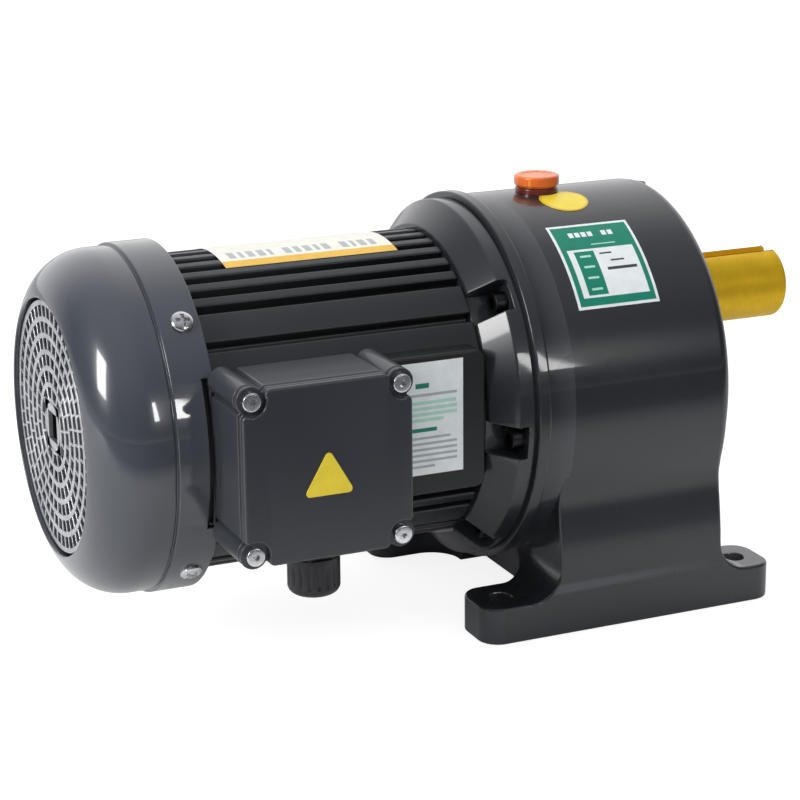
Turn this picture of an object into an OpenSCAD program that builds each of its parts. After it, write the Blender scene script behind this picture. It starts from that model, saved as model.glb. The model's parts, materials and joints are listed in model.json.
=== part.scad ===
// Foot-mounted inline gear reducer with its finned three-phase motor.
// The origin is the centre of the four foot holes, on the foot's underside.
// +X runs along the output shaft towards its free end, and +Z is up.

/* [Overall] */
// Height of the motor axis above the foot's underside
motor_axis_z = 85.5; // [84:0.5:110]
// Height of the output shaft's axis above the motor axis
output_rise = 22.5; // [20:0.5:23]
// X of the gearcase's output face
case_front_x = 37; // [34:0.5:45]
// Length of the gearcase from its output face to the flange joint
case_len = 80.5; // [80:0.5:110]
// Length of the motor's finned frame
frame_len = 104.7; // [100:0.1:150]

/* [Gearcase] */
// Outer radius of the gearcase barrel
case_r = 68.3; // [67.5:0.1:69]
// Wall of the gearcase at the flange, where its screws sit
case_wall = 11; // [10:0.1:11]
// Wall of the barrel in front of the flange screws
barrel_wall = 7; // [5:0.1:9]
// Thickness of the gearcase's output wall
end_wall = 8; // [7.8:0.1:9]
// Rounding of the barrel's outer edge at the output face
case_edge_r = 5; // [1:0.1:6]
// Outer radius of the collar that carries the flange
collar_r = 70; // [69.8:0.1:84]
// Thickness of the collar
collar_t = 4.6; // [3:0.1:6]
// Wall round a bearing pocket in the gearcase or the flange
boss_wall = 4; // [3:0.1:4.5]

/* [Foot] */
// X of the pedestal's face on the motor side
pedestal_back_x = -30.8; // [-34:0.1:-28]
// Half width of the pedestal and of the foot
foot_half_w = 63.5; // [63:0.1:80]
// Half length of the foot, over the lugs
foot_half_len = 61.2; // [60:0.1:75]
// Thickness of the foot's lugs
foot_t = 14; // [10:0.1:18]
// Width of one lug
lug_w = 25.5; // [25:0.1:30]
// Rounding of a lug's corners, seen from above
lug_corner_r = 8; // [2:0.1:10]
// Fillet between a lug and the pedestal
lug_fillet_r = 12; // [4:0.1:13]
// Distance between the foot holes along X
foot_hole_dx = 100; // [98:0.1:104]
// Distance between the foot holes along Y
foot_hole_dy = 102; // [98:0.1:106]
// Diameter of the foot holes
foot_hole_d = 9; // [6:0.1:12]
// Height of the relief under the foot, between its two rails
relief_h = 9.2; // [4:0.1:10]
// Half width of the relief under the foot
relief_half_w = 24; // [15:0.1:25]
// Drop from the motor axis to the pedestal's waist
waist_drop = 32.1; // [28:0.1:36]
// Height at which the pedestal reaches its full width
pedestal_full_z = 30; // [28:0.1:40]
// Wall of the oil sump inside the pedestal
sump_wall = 6; // [4:0.1:7]

/* [Flange cover] */
// Depth of the flange cover from the gasket to the motor
cover_depth = 14.4; // [13:0.1:18]
// Outer radius of the flange cover's rim
cover_r = 67.7; // [67:0.1:80]
// Length of the cover's straight rim
cover_rim = 5.9; // [5:0.1:8]
// Radius of the cover where it meets the motor
cover_neck_r = 59; // [58:0.1:62]
// Thickness of the flange gasket
gasket_t = 0.6; // [0.3:0.1:1]
// Radius of the circle of flange screws
flange_screw_r = 60.5; // [60.3:0.1:60.8]
// Shank diameter of the flange screws
flange_screw_d = 5; // [4:0.1:5]
// Width of the notch round a flange screw's head
notch_w = 12; // [10:0.1:13]
// Length of the thread in the gearcase
flange_thread = 10; // [8:0.1:11]
// Thickness of the cover's web
cover_web = 8; // [6:0.1:9]

/* [Gears] */
// Module of the first stage
stage1_module = 1; // [1:0.01:1.01]
// Teeth on the motor shaft's pinion
stage1_pinion_teeth = 11; // [11:1:12]
// Teeth on the first stage's gear
stage1_gear_teeth = 49; // [48:1:49]
// Profile shift of the first stage
stage1_shift = 0.4; // [0.36:0.01:0.45]
// Face width of the first stage's gear
stage1_face = 12; // [8:0.5:13]
// Module of the second stage
stage2_module = 1.5; // [1.48:0.01:1.5]
// Teeth on the countershaft's pinion
stage2_pinion_teeth = 21; // [21:1:22]
// Teeth on the output gear
stage2_gear_teeth = 43; // [42:1:43]
// Face width of the output gear
stage2_face = 18; // [12:0.5:19]
// Circumferential backlash of both stages
backlash = 0.2; // [0.1:0.01:0.3]
// Extra width of a pinion over its gear
pinion_extra = 2; // [1:0.5:2]

/* [Output shaft] */
// Diameter of the output shaft's free end
output_d = 28; // [20:0.5:29]
// Length of the output shaft beyond the output face
output_len = 57.9; // [40:0.1:80]
// Width of the shaft's open keyway
keyway_w = 8; // [6:0.1:9]
// Depth of the shaft's open keyway
keyway_depth = 4; // [2:0.1:5]
// Length of the shaft's open keyway
keyway_len = 46; // [20:0.5:50]
// Chamfer on the shaft's free end
output_chamfer = 1.5; // [0.5:0.1:2]
// Journal diameter in the output bearing
output_journal_d = 30; // [30:0.1:31]
// Journal diameter in the output shaft's inner bearing
output_tail_d = 12; // [11:0.1:12.5]
// Diameter of the output gear's seat
output_seat_d = 31; // [31:0.1:32]
// Width of the key under the output gear
gear_key_w = 8; // [6:0.1:8]

/* [Bearings and seals] */
// Outer diameter of the output bearing
output_bearing_od = 55; // [52:0.1:56]
// Width of the output bearing
output_bearing_w = 13; // [11:0.1:13]
// Outer diameter of the output shaft's inner bearing
tail_bearing_od = 28; // [26:0.1:28.2]
// Width of the output shaft's inner bearing
tail_bearing_w = 8; // [6:0.1:9]
// Journal diameter of the countershaft
counter_journal_d = 12; // [11:0.1:12.5]
// Outer diameter of the countershaft bearings
counter_bearing_od = 32; // [30:0.1:32.5]
// Width of the countershaft bearings
counter_bearing_w = 10; // [8:0.1:10]
// Journal diameter of the motor's front bearing
front_journal_d = 17; // [16:0.1:17.5]
// Outer diameter of the motor's front bearing
front_bearing_od = 40; // [38:0.1:42]
// Width of the motor's front bearing
front_bearing_w = 12; // [10:0.1:12.5]
// Journal diameter of the motor's rear bearing
rear_journal_d = 15; // [14:0.1:15.5]
// Outer diameter of the motor's rear bearing
rear_bearing_od = 35; // [33:0.1:36]
// Width of the motor's rear bearing
rear_bearing_w = 11; // [9:0.1:11]
// Number of balls in each bearing
ball_count = 8; // [7:1:8]
// Radial play between a ball and its races
ball_play = 0.1; // [0.08:0.01:0.15]
// Outer diameter of the output seal
output_seal_od = 47; // [46:0.1:48]
// Width of both seals
seal_w = 7; // [5:0.1:7]
// Outer diameter of the motor shaft's seal
input_seal_od = 30; // [28:0.1:31]
// Running clearance of a seal's lip on its shaft, radial
seal_play = 0.05; // [0.02:0.01:0.1]

/* [Motor] */
// Radius over the frame's fins
frame_r = 57.5; // [57:0.1:58.5]
// Radius of the frame's bore, which holds the stator
frame_bore_r = 48; // [46:0.1:48.5]
// Number of fin positions round the frame
fin_count = 48; // [44:4:52]
// Width of the groove between two fins
fin_gap = 3.4; // [2.5:0.1:4]
// Depth of the groove between two fins
fin_depth = 4.5; // [3:0.1:5]
// Distance of the flat pad's face from the motor axis
pad_y = 59.5; // [59:0.1:61]
// Half height of the flat pad
pad_half_h = 25.6; // [25:0.1:27]
// Height of the pad's centre above the motor axis
pad_rise = 1.2; // [0:0.1:1.5]
// Length of the stator core
stator_len = 60; // [50:0.5:66]
// Bore radius of the stator
stator_bore_r = 29.6; // [28:0.1:30]
// Air gap between the rotor and the stator
air_gap = 0.4; // [0.3:0.05:0.6]
// Number of stator slots
slot_count = 24; // [18:6:24]
// Radius of the pitch circle of the tie bolts
tie_bolt_r = 52.75; // [52:0.1:53.2]
// Diameter of the tie bolts
tie_bolt_d = 4; // [3:0.1:4]
// Thickness of the rear endshield
endshield_t = 8; // [7:0.1:9]
// Radius of the rear endshield
endshield_r = 60.5; // [59:0.1:61]

/* [Fan and cowl] */
// Outer radius of the cowl's rear rim
cowl_rim_r = 63.3; // [63:0.1:65]
// Outer radius of the cowl ahead of its step
cowl_r = 62.3; // [61.5:0.1:64]
// Length of the cowl's rear rim
cowl_rim_len = 14.7; // [14:0.1:18]
// Overlap of the cowl over the motor frame
cowl_overlap = 2.4; // [2:0.1:3]
// Length of the whole cowl
cowl_len = 43.5; // [42:0.1:60]
// Radius of the cowl's rounded shoulder
cowl_shoulder_r = 21.3; // [18:0.1:23]
// Wall of the cowl
cowl_wall = 1.5; // [1:0.1:1.8]
// Radius of the round grille
grille_r = 46.3; // [42:0.1:47.5]
// Thickness of the grille
grille_t = 1.5; // [1:0.1:2]
// Number of slot rings in the grille
grille_rings = 5; // [3:1:6]
// Outer radius of the fan
fan_r = 48; // [40:0.5:50]
// Width of the fan's blades
fan_w = 15; // [10:0.5:16]
// Number of fan blades
fan_blades = 9; // [5:1:12]

/* [Terminal box] */
// Distance from the frame's back to the terminal box's centre
box_inset = 30.6; // [29.2:0.1:43.2]
// Height of the terminal box's centre above the motor axis
box_rise = 0.8; // [0:0.1:1.5]
// Length of the terminal box
box_len = 60.6; // [58:0.1:64]
// Height of the terminal box
box_h = 61.4; // [58:0.1:64]
// Depth of the box's body, without its cover
box_depth = 25; // [22:0.1:40]
// Wall of the terminal box
box_wall = 3; // [2:0.1:3.2]
// Chamfer of the box's four corners
box_chamfer = 9.5; // [8:0.1:10.5]
// Distance between the cover screws, the same both ways
cover_screw_pitch = 53.4; // [52:0.1:54]
// Radius of the round corner that holds a cover screw
cover_ear_r = 4.9; // [4.2:0.1:5]
// Thickness of the cover's base
cover_base_t = 2; // [1.5:0.1:3]
// Height of the cover's raised face
cover_raised_t = 2.4; // [1:0.1:3]
// Thread diameter of the cable gland
gland_thread_d = 12; // [10:0.1:14]
// Outer diameter of the gland's cap
gland_cap_d = 18.4; // [17:0.1:20]
// Height of the gland's cap
gland_cap_h = 14; // [10:0.1:18]

/* [Oil plug] */
// X of the oil plug
plug_x = -10; // [-14:0.1:-4]
// Diameter of the oil plug's cap
plug_cap_d = 17; // [15:0.1:20]
// Height of the oil plug's cap
plug_cap_h = 4.4; // [4:0.1:8]
// Thread diameter of the oil plug
plug_thread_d = 12; // [10:0.1:13]

/* [Fits] */
// Radial play of a fastener in its hole
screw_play = 0.1; // [0.05:0.01:0.2]
// Radial play of a part that is seated in a bore
seat_play = 0.03; // [0.02:0.01:0.06]
// Gap between a label and the surface under it
label_gap = 0.05; // [0.02:0.01:0.1]
// Thickness of a label
label_t = 0.25; // [0.2:0.05:0.4]

/* [Hidden] */
$fn = 96;
cut = 1;

// Colours
slate = "#3a3d44";
soot = "#1b1c1f";
steel = "#b9bcc0";
dark_steel = "#6f7276";
brass = "#c9a227";
copper = "#b4622d";
rubber = "#161616";

// Axes of the three shafts
mesh1 = stage1_module * (stage1_pinion_teeth + stage1_gear_teeth) / 2;
mesh2 = stage2_module * (stage2_pinion_teeth + stage2_gear_teeth) / 2;
output_z = motor_axis_z + output_rise;
counter_drop = (mesh2 * mesh2 - mesh1 * mesh1 - output_rise * output_rise) / (2 * output_rise);
counter_y = sqrt(mesh1 * mesh1 - counter_drop * counter_drop);
counter_z = motor_axis_z - counter_drop;

// Stations along X, from the output face back to the fan
seat_shoulder = 4;
output_bearing_x = case_front_x - seal_w - 0.5 - seat_shoulder - output_bearing_w;
counter_front_x = output_bearing_x;
stage2_x = output_bearing_x - 3 - stage2_face;
case_back_x = case_front_x - case_len;
case_bore_r = case_r - case_wall;
cover_front_x = case_back_x - gasket_t;
cover_back_x = cover_front_x - cover_depth;
web_back_x = cover_back_x + cover_depth - cover_rim - 0.3;
boss_front_x = cover_front_x + 16.1;
stage1_x = boss_front_x + 2;
counter_rear_x = boss_front_x - counter_bearing_w;
tail_bearing_x = boss_front_x - tail_bearing_w;
frame_back_x = cover_back_x - frame_len;
box_x = frame_back_x + box_inset;
endshield_back_x = frame_back_x - endshield_t;
front_bearing_x = cover_back_x - front_bearing_w;
input_seal_x = cover_back_x;
rear_bearing_x = endshield_back_x + 4;
stator_x = cover_back_x - (frame_len + stator_len) / 2 - 2;
winding_reach = 15;
cowl_rear_x = frame_back_x + cowl_overlap;
cowl_front_x = cowl_rear_x - cowl_len;
cowl_bore_r = cowl_rim_r - cowl_wall;
fan_x = endshield_back_x - 5 - fan_w;
shaft_end_x = fan_x - 2;
cowl_screw_x = (frame_back_x + endshield_back_x) / 2;
quarter_angles = [45, 135, 225, 315];
flange_angles = [50, 97, 144, -50, -97, -144];

// Face planes of the terminal box, going out from the motor
box_z = motor_axis_z + box_rise;
box_gasket_t = 1;
box_back_y = -pad_y - box_gasket_t;
box_front_y = box_back_y - box_depth;
cover_back_y = box_front_y - box_gasket_t;
cover_ledge_y = cover_back_y - cover_base_t;
cover_face_y = cover_ledge_y - cover_raised_t;
box_bottom_z = box_z - box_h / 2;
gland_y = (box_back_y + box_front_y) / 2 - 1;
lead_x = frame_back_x + 16;

// Directions of the two lines of centres
stage1_dir = [counter_y, counter_z - motor_axis_z];
stage2_dir = [-counter_y, output_z - counter_z];

// Flange screws, their notches, and the oil plug
flange_head_d = 8.5;
flange_head_h = 5;
notch_deck = 2.5;
notch_reach = 5;
notch_floor_x = cover_front_x - notch_deck;
// Clearance hole for the motor shaft's pinion
tail_clearance_r = 7.6;
plug_washer_t = 1.6;
plug_seat_rise = 0.4;
plug_seat_z = motor_axis_z + case_r + plug_seat_rise;
plug_grip = barrel_wall + plug_seat_rise + plug_washer_t - 0.5;

// Motor frame, end shield, cowl and stator
pad_angle = atan2(pad_y, pad_half_h);
lead_hole_r = 6;
box_screw_d = 4;
box_thread = 7;
box_screw_places = [
    for (sx = [-1, 1], sz = [-1, 1]) [box_x + sx * 22, box_z + sz * 19]
];
washer_room = 1.2;
cowl_screw_d = 3.5;
cowl_thread = 4.4;
slot_depth = 10;
slot_w = 3;
winding_bar_r = stator_bore_r + 1.7;
winding_r = winding_bar_r + slot_depth + 1;
grille_seat = 2.4;
cowl_notch_len = 4.4;

// Terminal board and its leads
cover_screw_d = 3;
cover_thread = 9;
block_y = box_back_y - box_wall;
block_t = 7;
block_x = box_x + 9;
block_z = box_z + 2;
stud_pitch_x = 10;
stud_pitch_z = 12;
stud_places = [
    for (sz = [1, -1], sx = [-1:1]) [block_x + sx * stud_pitch_x, block_z + sz * stud_pitch_z / 2]
];
stud_d = 4;
stud_len = 10;
stud_root = 5;
link_t = 1;
link_half_len = 9.5;
lug_ring_t = 0.8;
wire_d = 1.6;
earth_screw_x = box_x - 2;
earth_screw_z = box_z - 17;

// Cable gland
gland_nut_z = box_bottom_z + box_wall;
gland_flange_h = 3.5;
gland_bore_d = 8;
seal_bore_d = 6.5;

// Seats and bodies of the shafts
stage1_pinion_face = stage1_face + pinion_extra;
pinion_end_x = stage1_x - pinion_extra / 2 + stage1_pinion_face;
rotor_seat_r = 10;
fan_seat_r = 6.5;
neck_r = 6;
end_ring_w = 7;
counter_body_r = 8.5;
output_body_r = 9;
key_h = 7;
key_z = output_z + output_seat_d / 2 - 4;
key_len = stage2_face - 3;

// A cylinder along X, from x0 to x1, on an axis parallel to X
module x_cyl(x0, x1, r, y = 0, z = motor_axis_z)
    translate([x0, y, z])
        rotate([0, 90, 0])
            cylinder(r = r, h = x1 - x0);

// A cone along X
module x_cone(x0, x1, r0, r1, y = 0, z = motor_axis_z)
    translate([x0, y, z])
        rotate([0, 90, 0])
            cylinder(r1 = r0, r2 = r1, h = x1 - x0);

// A plain ring along X
module x_ring(x0, x1, outer, inner, y = 0, z = motor_axis_z)
    difference() {
        x_cyl(x0, x1, outer, y, z);
        x_cyl(x0 - cut, x1 + cut, inner, y, z);
    }

// Turns children drawn along Z to lie along X at the given place
module along_x(x, y = 0, z = motor_axis_z)
    translate([x, y, z])
        rotate([0, 90, 0])
            children();

// Places children at an angle from the top, towards the terminal box, and a radius
module around(angle, r)
    translate([0, -r * sin(angle), motor_axis_z + r * cos(angle)])
        children();

// Turns children about the motor axis, from the top towards the terminal box
module turned(angle)
    translate([0, 0, motor_axis_z])
        rotate([angle, 0, 0])
            translate([0, 0, -motor_axis_z])
                children();

// A thin plate bent round the motor axis, between two angles from the top
module bent_plate(x0, x1, r, t, a0, a1)
    along_x(x0)
        rotate_extrude(angle = a1 - a0, start = 180 + a0)
            translate([r, 0])
                square([t, x1 - x0]);

// Half the angle of a tooth, in degrees, at the radius r
function inv(a) = tan(a) * 180 / PI - a;
function tooth_half(m, teeth, shift, r) =
    90 / teeth + (2 * shift * tan(20) / teeth - backlash / 2 / (m * teeth)) * 180 / PI
    + inv(20) - inv(acos(min(1, m * teeth / 2 * cos(20) / r)));

// A spur gear's outline, with a tooth on the local +X axis
module gear_outline(m, teeth, shift) {
    pitch_r = m * teeth / 2;
    root_r = pitch_r + m * (shift - 1.25);
    tip_r = pitch_r + m * (1 + shift);
    start_r = max(root_r + 0.01, pitch_r * cos(20) + 0.001);
    steps = 4;
    radii = concat([root_r], [for (i = [0:steps]) start_r + (tip_r - start_r) * i / steps]);
    half = [for (r = radii) tooth_half(m, teeth, shift, max(r, start_r))];
    last = len(radii) - 1;
    polygon([
        for (k = [0:teeth - 1]) each concat(
            [for (i = [0:last]) radii[i] * [cos(k * 360 / teeth - half[i]), sin(k * 360 / teeth - half[i])]],
            [for (i = [last:-1:0])
                radii[i] * [cos(k * 360 / teeth + half[i]), sin(k * 360 / teeth + half[i])]]
        )
    ]);
}

// A gear on a shaft along X, with a tooth pointing in the direction (dy, dz)
module x_gear(x0, width, m, teeth, shift, y, z, dy, dz, phase = 0)
    along_x(x0, y, z)
        rotate([0, 0, atan2(dy, -dz) + phase])
            linear_extrude(width)
                gear_outline(m, teeth, shift);

// Ball bearings: pitch radius and ball radius follow from the bore and the outer diameter
function bearing_pitch(bore, od) = (bore + od) / 4;
function bearing_ball(bore, od) = (od - bore) * 0.15;

module bearing_outer(x, y, z, bore, od, w) {
    pitch = bearing_pitch(bore, od);
    ball = bearing_ball(bore, od);
    along_x(x, y, z)
        rotate_extrude()
            difference() {
                translate([pitch + ball * 0.5, 0])
                    square([od / 2 - seat_play - pitch - ball * 0.5, w]);
                translate([pitch, w / 2])
                    circle(r = ball + ball_play);
            }
}

module bearing_inner(x, y, z, bore, od, w) {
    pitch = bearing_pitch(bore, od);
    ball = bearing_ball(bore, od);
    along_x(x, y, z)
        rotate_extrude()
            difference() {
                translate([bore / 2, 0])
                    square([pitch - ball * 0.5 - bore / 2, w]);
                translate([pitch, w / 2])
                    circle(r = ball + ball_play);
            }
}

module ball_set(x, y, z, bore, od, w) {
    pitch = bearing_pitch(bore, od);
    ball = bearing_ball(bore, od);
    cage_half = ball * 0.22;
    along_x(x + w / 2, y, z) {
        for (k = [0:ball_count - 1])
            rotate([0, 0, k * 360 / ball_count])
                translate([pitch, 0, 0])
                    sphere(r = ball);
        difference() {
            translate([0, 0, -ball * 1.2])
                cylinder(r = pitch + cage_half, h = ball * 2.4);
            translate([0, 0, -ball * 2])
                cylinder(r = pitch - cage_half, h = ball * 4);
            for (k = [0:ball_count - 1])
                rotate([0, 0, k * 360 / ball_count])
                    rotate([0, 90, 0])
                        cylinder(r = ball + ball_play, h = pitch + ball);
        }
    }
}

// A machine screw along local Z, with its head above z = 0 and its shank below
module screw(shank_d, length, head_d, head_h, recess_d) {
    translate([0, 0, -length])
        cylinder(d = shank_d, h = length + head_h / 2);
    difference() {
        cylinder(d = head_d, h = head_h);
        translate([0, 0, head_h * 0.4])
            cylinder(d = recess_d, h = head_h, $fn = 6);
    }
}

// ---------------------------------------------------------------- gearcase

// The foot's outline on one corner, from the pedestal's face at x0 to the lug's tip
module lug_outline(x0) {
    reach = foot_half_len - x0;
    r = lug_corner_r;
    inner_y = foot_half_w - lug_w;
    translate([x0 - cut, inner_y + r])
        square([reach + cut, lug_w - 2 * r]);
    translate([x0 - cut, inner_y])
        square([reach + cut - r, lug_w]);
    for (y = [inner_y + r, foot_half_w - r])
        translate([foot_half_len - r, y])
            circle(r = r);
    difference() {
        translate([x0 - cut, inner_y - lug_fillet_r])
            square([lug_fillet_r + cut, lug_fillet_r + cut]);
        translate([x0 + lug_fillet_r, inner_y - lug_fillet_r])
            circle(r = lug_fillet_r);
    }
}

// A lug with its fillets, in the +X +Y corner
module lug(x0) {
    linear_extrude(foot_t)
        lug_outline(x0);
    translate([x0, foot_half_w, foot_t])
        rotate([90, 0, 0])
            linear_extrude(lug_w)
                difference() {
                    translate([-cut, -cut])
                        square([lug_fillet_r + cut, lug_fillet_r + cut]);
                    translate([lug_fillet_r, lug_fillet_r])
                        circle(r = lug_fillet_r);
                }
}

// The pedestal's cross-section, narrower at the waist under the barrel
module pedestal_outline() {
    waist_half_w = sqrt(case_r * case_r - waist_drop * waist_drop);
    polygon([
        [-foot_half_w, 0], [foot_half_w, 0], [foot_half_w, pedestal_full_z],
        [waist_half_w, motor_axis_z - waist_drop], [-waist_half_w, motor_axis_z - waist_drop],
        [-foot_half_w, pedestal_full_z]
    ]);
}

// The block that joins the barrel to the foot, with four lugs
module pedestal() {
    translate([pedestal_back_x, 0, 0])
        rotate([90, 0, 90])
            linear_extrude(case_front_x - pedestal_back_x)
                pedestal_outline();
    for (side = [0, 1])
        mirror([0, side, 0]) {
            lug(case_front_x);
            mirror([1, 0, 0])
                lug(-pedestal_back_x);
        }
}

// The barrel, with a rounded edge at the output face and a collar at the flange
module barrel() {
    along_x(case_back_x)
        rotate_extrude() {
            square([case_r, case_len - case_edge_r]);
            square([case_r - case_edge_r, case_len]);
            translate([case_r - case_edge_r, case_len - case_edge_r])
                circle(r = case_edge_r);
        }
    x_cyl(case_back_x, case_back_x + collar_t, collar_r);
}

// The space for the gears and the oil
module case_cavity() {
    x_cyl(case_back_x - cut, case_front_x - end_wall, case_bore_r);
    x_cyl(case_back_x + flange_thread + 4, case_front_x - end_wall, case_r - barrel_wall);
    sump_floor_z = relief_h + sump_wall;
    translate([pedestal_back_x + sump_wall, sump_wall - foot_half_w, sump_floor_z])
        cube([
            case_front_x - end_wall - pedestal_back_x - sump_wall,
            2 * (foot_half_w - sump_wall),
            pedestal_full_z - sump_floor_z
        ]);
    translate([pedestal_back_x + sump_wall, -case_bore_r * 0.9, sump_floor_z])
        cube([
            case_front_x - end_wall - pedestal_back_x - sump_wall,
            2 * case_bore_r * 0.9,
            motor_axis_z - waist_drop - sump_floor_z
        ]);
}

module gearcase()
    color(slate)
        difference() {
            union() {
                difference() {
                    union() {
                        barrel();
                        pedestal();
                    }
                    case_cavity();
                }
                x_cyl(output_bearing_x, case_front_x - cut, output_bearing_od / 2 + boss_wall, 0, output_z);
                x_cyl(counter_front_x, case_front_x - cut, counter_bearing_od / 2 + boss_wall,
                    counter_y, counter_z);
                // Inner pads that carry the flange screws' threads
                for (a = flange_angles)
                    intersection() {
                        around(a, flange_screw_r)
                            x_cyl(case_back_x, case_back_x + flange_thread + 2,
                                flange_screw_d / 2 + 2.5, 0, 0);
                        x_cyl(case_back_x, case_front_x, case_r - 0.2);
                    }
            }
            // Output bearing, its shoulder and the seal's pocket
            x_cyl(output_bearing_x - cut, output_bearing_x + output_bearing_w,
                output_bearing_od / 2, 0, output_z);
            x_cyl(output_bearing_x, case_front_x + cut, output_journal_d / 2 + 4, 0, output_z);
            x_cyl(case_front_x - seal_w - 0.5, case_front_x + cut, output_seal_od / 2, 0, output_z);
            x_cyl(counter_front_x - cut, counter_front_x + counter_bearing_w,
                counter_bearing_od / 2, counter_y, counter_z);
            for (a = flange_angles)
                around(a, flange_screw_r)
                    x_cyl(case_back_x - cut, case_back_x + flange_thread,
                        flange_screw_d / 2 + screw_play, 0, 0);
            translate([plug_x, 0, motor_axis_z])
                cylinder(d = plug_thread_d + 2 * screw_play, h = case_r + cut);
            for (sx = [-1, 1], sy = [-1, 1])
                translate([sx * foot_hole_dx / 2, sy * foot_hole_dy / 2, -cut])
                    cylinder(d = foot_hole_d, h = foot_t + 2 * cut);
            // Relief between the foot's two rails
            translate([-foot_half_len, -relief_half_w, -cut])
                cube([2 * foot_half_len, 2 * relief_half_w, relief_h + cut]);
        }

// ------------------------------------------------------------ flange cover

module flange_cover()
    color(slate)
        difference() {
            union() {
                x_cyl(cover_front_x - cover_rim, cover_front_x, cover_r);
                x_cone(cover_back_x, cover_front_x - cover_rim, cover_neck_r, cover_r);
                // Spigots into the motor frame and into the gearcase
                x_cyl(cover_back_x - 4, cover_back_x + cut, frame_bore_r - seat_play);
                x_cyl(cover_front_x - cut, cover_front_x + 4, case_bore_r - 3.2);
                x_cyl(front_bearing_x, cover_back_x + cut, front_bearing_od / 2 + boss_wall);
                x_cyl(cover_front_x, boss_front_x, counter_bearing_od / 2 + boss_wall, counter_y, counter_z);
                x_cyl(cover_front_x, boss_front_x, tail_bearing_od / 2 + boss_wall - 1, 0, output_z);
            }
            // The dish on the motor's side, round the bearing's hub
            difference() {
                x_cyl(cover_back_x - 4 - cut, cover_front_x - cover_web, frame_bore_r - 4);
                x_cyl(front_bearing_x - cut, cover_front_x, front_bearing_od / 2 + boss_wall);
            }
            x_cyl(front_bearing_x - cut, cover_back_x, front_bearing_od / 2);
            x_cyl(cover_back_x - cut, input_seal_x + seal_w, input_seal_od / 2);
            x_cyl(cover_back_x, boss_front_x + cut, tail_clearance_r);
            x_cyl(counter_rear_x, boss_front_x + cut, counter_bearing_od / 2, counter_y, counter_z);
            x_cyl(tail_bearing_x, boss_front_x + cut, tail_bearing_od / 2, 0, output_z);
            for (a = flange_angles) {
                around(a, flange_screw_r)
                    x_cyl(cover_back_x, cover_front_x + cut, flange_screw_d / 2 + screw_play, 0, 0);
                // Notch for the head, open outwards and towards the motor
                turned(a)
                    translate([cover_back_x - cut, -notch_w / 2, motor_axis_z + flange_screw_r - notch_reach])
                        cube([notch_floor_x - cover_back_x + cut, notch_w, cover_r]);
            }
            for (a = quarter_angles)
                around(a, tie_bolt_r)
                    x_cyl(cover_back_x - cut, cover_back_x + 8, tie_bolt_d / 2 + screw_play, 0, 0);
        }

module flange_gasket()
    color(rubber)
        difference() {
            x_ring(case_back_x - gasket_t, case_back_x, cover_r - 1, case_bore_r + 0.2);
            for (a = flange_angles)
                around(a, flange_screw_r)
                    x_cyl(case_back_x - gasket_t - cut, case_back_x + cut, flange_screw_d / 2 + 0.3, 0, 0);
        }

module flange_screws()
    color(dark_steel)
        for (a = flange_angles)
            around(a, flange_screw_r)
                translate([notch_floor_x, 0, 0])
                    rotate([0, -90, 0])
                        screw(flange_screw_d, notch_deck + gasket_t + flange_thread - 1,
                              flange_head_d, flange_head_h, flange_head_d * 0.5);

// ---------------------------------------------------------------- oil plug

module oil_plug()
    color("#d9662a")
        translate([plug_x, 0, plug_seat_z + plug_washer_t]) {
            translate([0, 0, -plug_grip])
                cylinder(d = plug_thread_d, h = plug_grip + 1);
            cylinder(d = plug_cap_d - 1.5, h = 1.5);
            translate([0, 0, 1.5])
                cylinder(d = plug_cap_d, h = plug_cap_h - 2.5);
            translate([0, 0, plug_cap_h - 1])
                cylinder(d1 = plug_cap_d, d2 = plug_cap_d - 2, h = 1);
        }

// The washer is shaped underneath to the barrel
module oil_plug_washer()
    color("#5a1512")
        difference() {
            translate([plug_x, 0, plug_seat_z - 4])
                cylinder(d = plug_cap_d - 0.8, h = plug_washer_t + 4);
            translate([plug_x, 0, plug_seat_z - 4 - cut])
                cylinder(d = plug_thread_d + 2 * screw_play, h = plug_washer_t + 4 + 2 * cut);
            x_cyl(plug_x - plug_cap_d, plug_x + plug_cap_d, case_r + label_gap);
        }

// ------------------------------------------------------------------ labels

module gearbox_label()
    color("#0f8f6b")
        bent_plate(-22.2, 11, case_r + label_gap, label_t, 27, 58.3);

module oil_label()
    color("#e8c52c")
        difference() {
            intersection() {
                bent_plate(-18, 8, case_r + label_gap, label_t, 0, 26);
                translate([-5.8, 0, motor_axis_z])
                    rotate([12, 0, 0])
                        cylinder(d = 18.6, h = case_r + 5);
            }
            // Room for the oil plug's washer
            translate([plug_x, 0, motor_axis_z])
                cylinder(d = plug_cap_d + 0.4, h = case_r + 5);
        }

module top_label()
    color("#e9e2c8")
        bent_plate(box_x - 8.4, box_x + 57.6, frame_r + label_gap, label_t, -17, 17);

module motor_label()
    color("#e6eee9")
        translate([box_x + 35.6, -pad_y - label_gap - label_t, motor_axis_z - 16.8])
            cube([28, label_t, 41.3]);

// ------------------------------------------------------------------- motor

// Grooves between the fins, leaving out the tie bolts' ridges and the pad
function is_groove(a) =
    min([for (q = quarter_angles) abs(a - q)]) > 6 && (a < 60 || a > 115);

module frame_outline()
    difference() {
        circle(r = frame_r);
        circle(r = frame_bore_r);
        for (k = [0:fin_count - 1])
            if (is_groove(k * 360 / fin_count))
                rotate([0, 0, 180 + k * 360 / fin_count])
                    translate([frame_r - fin_depth, -fin_gap / 2])
                        square([fin_depth + 2, fin_gap]);
    }

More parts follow.
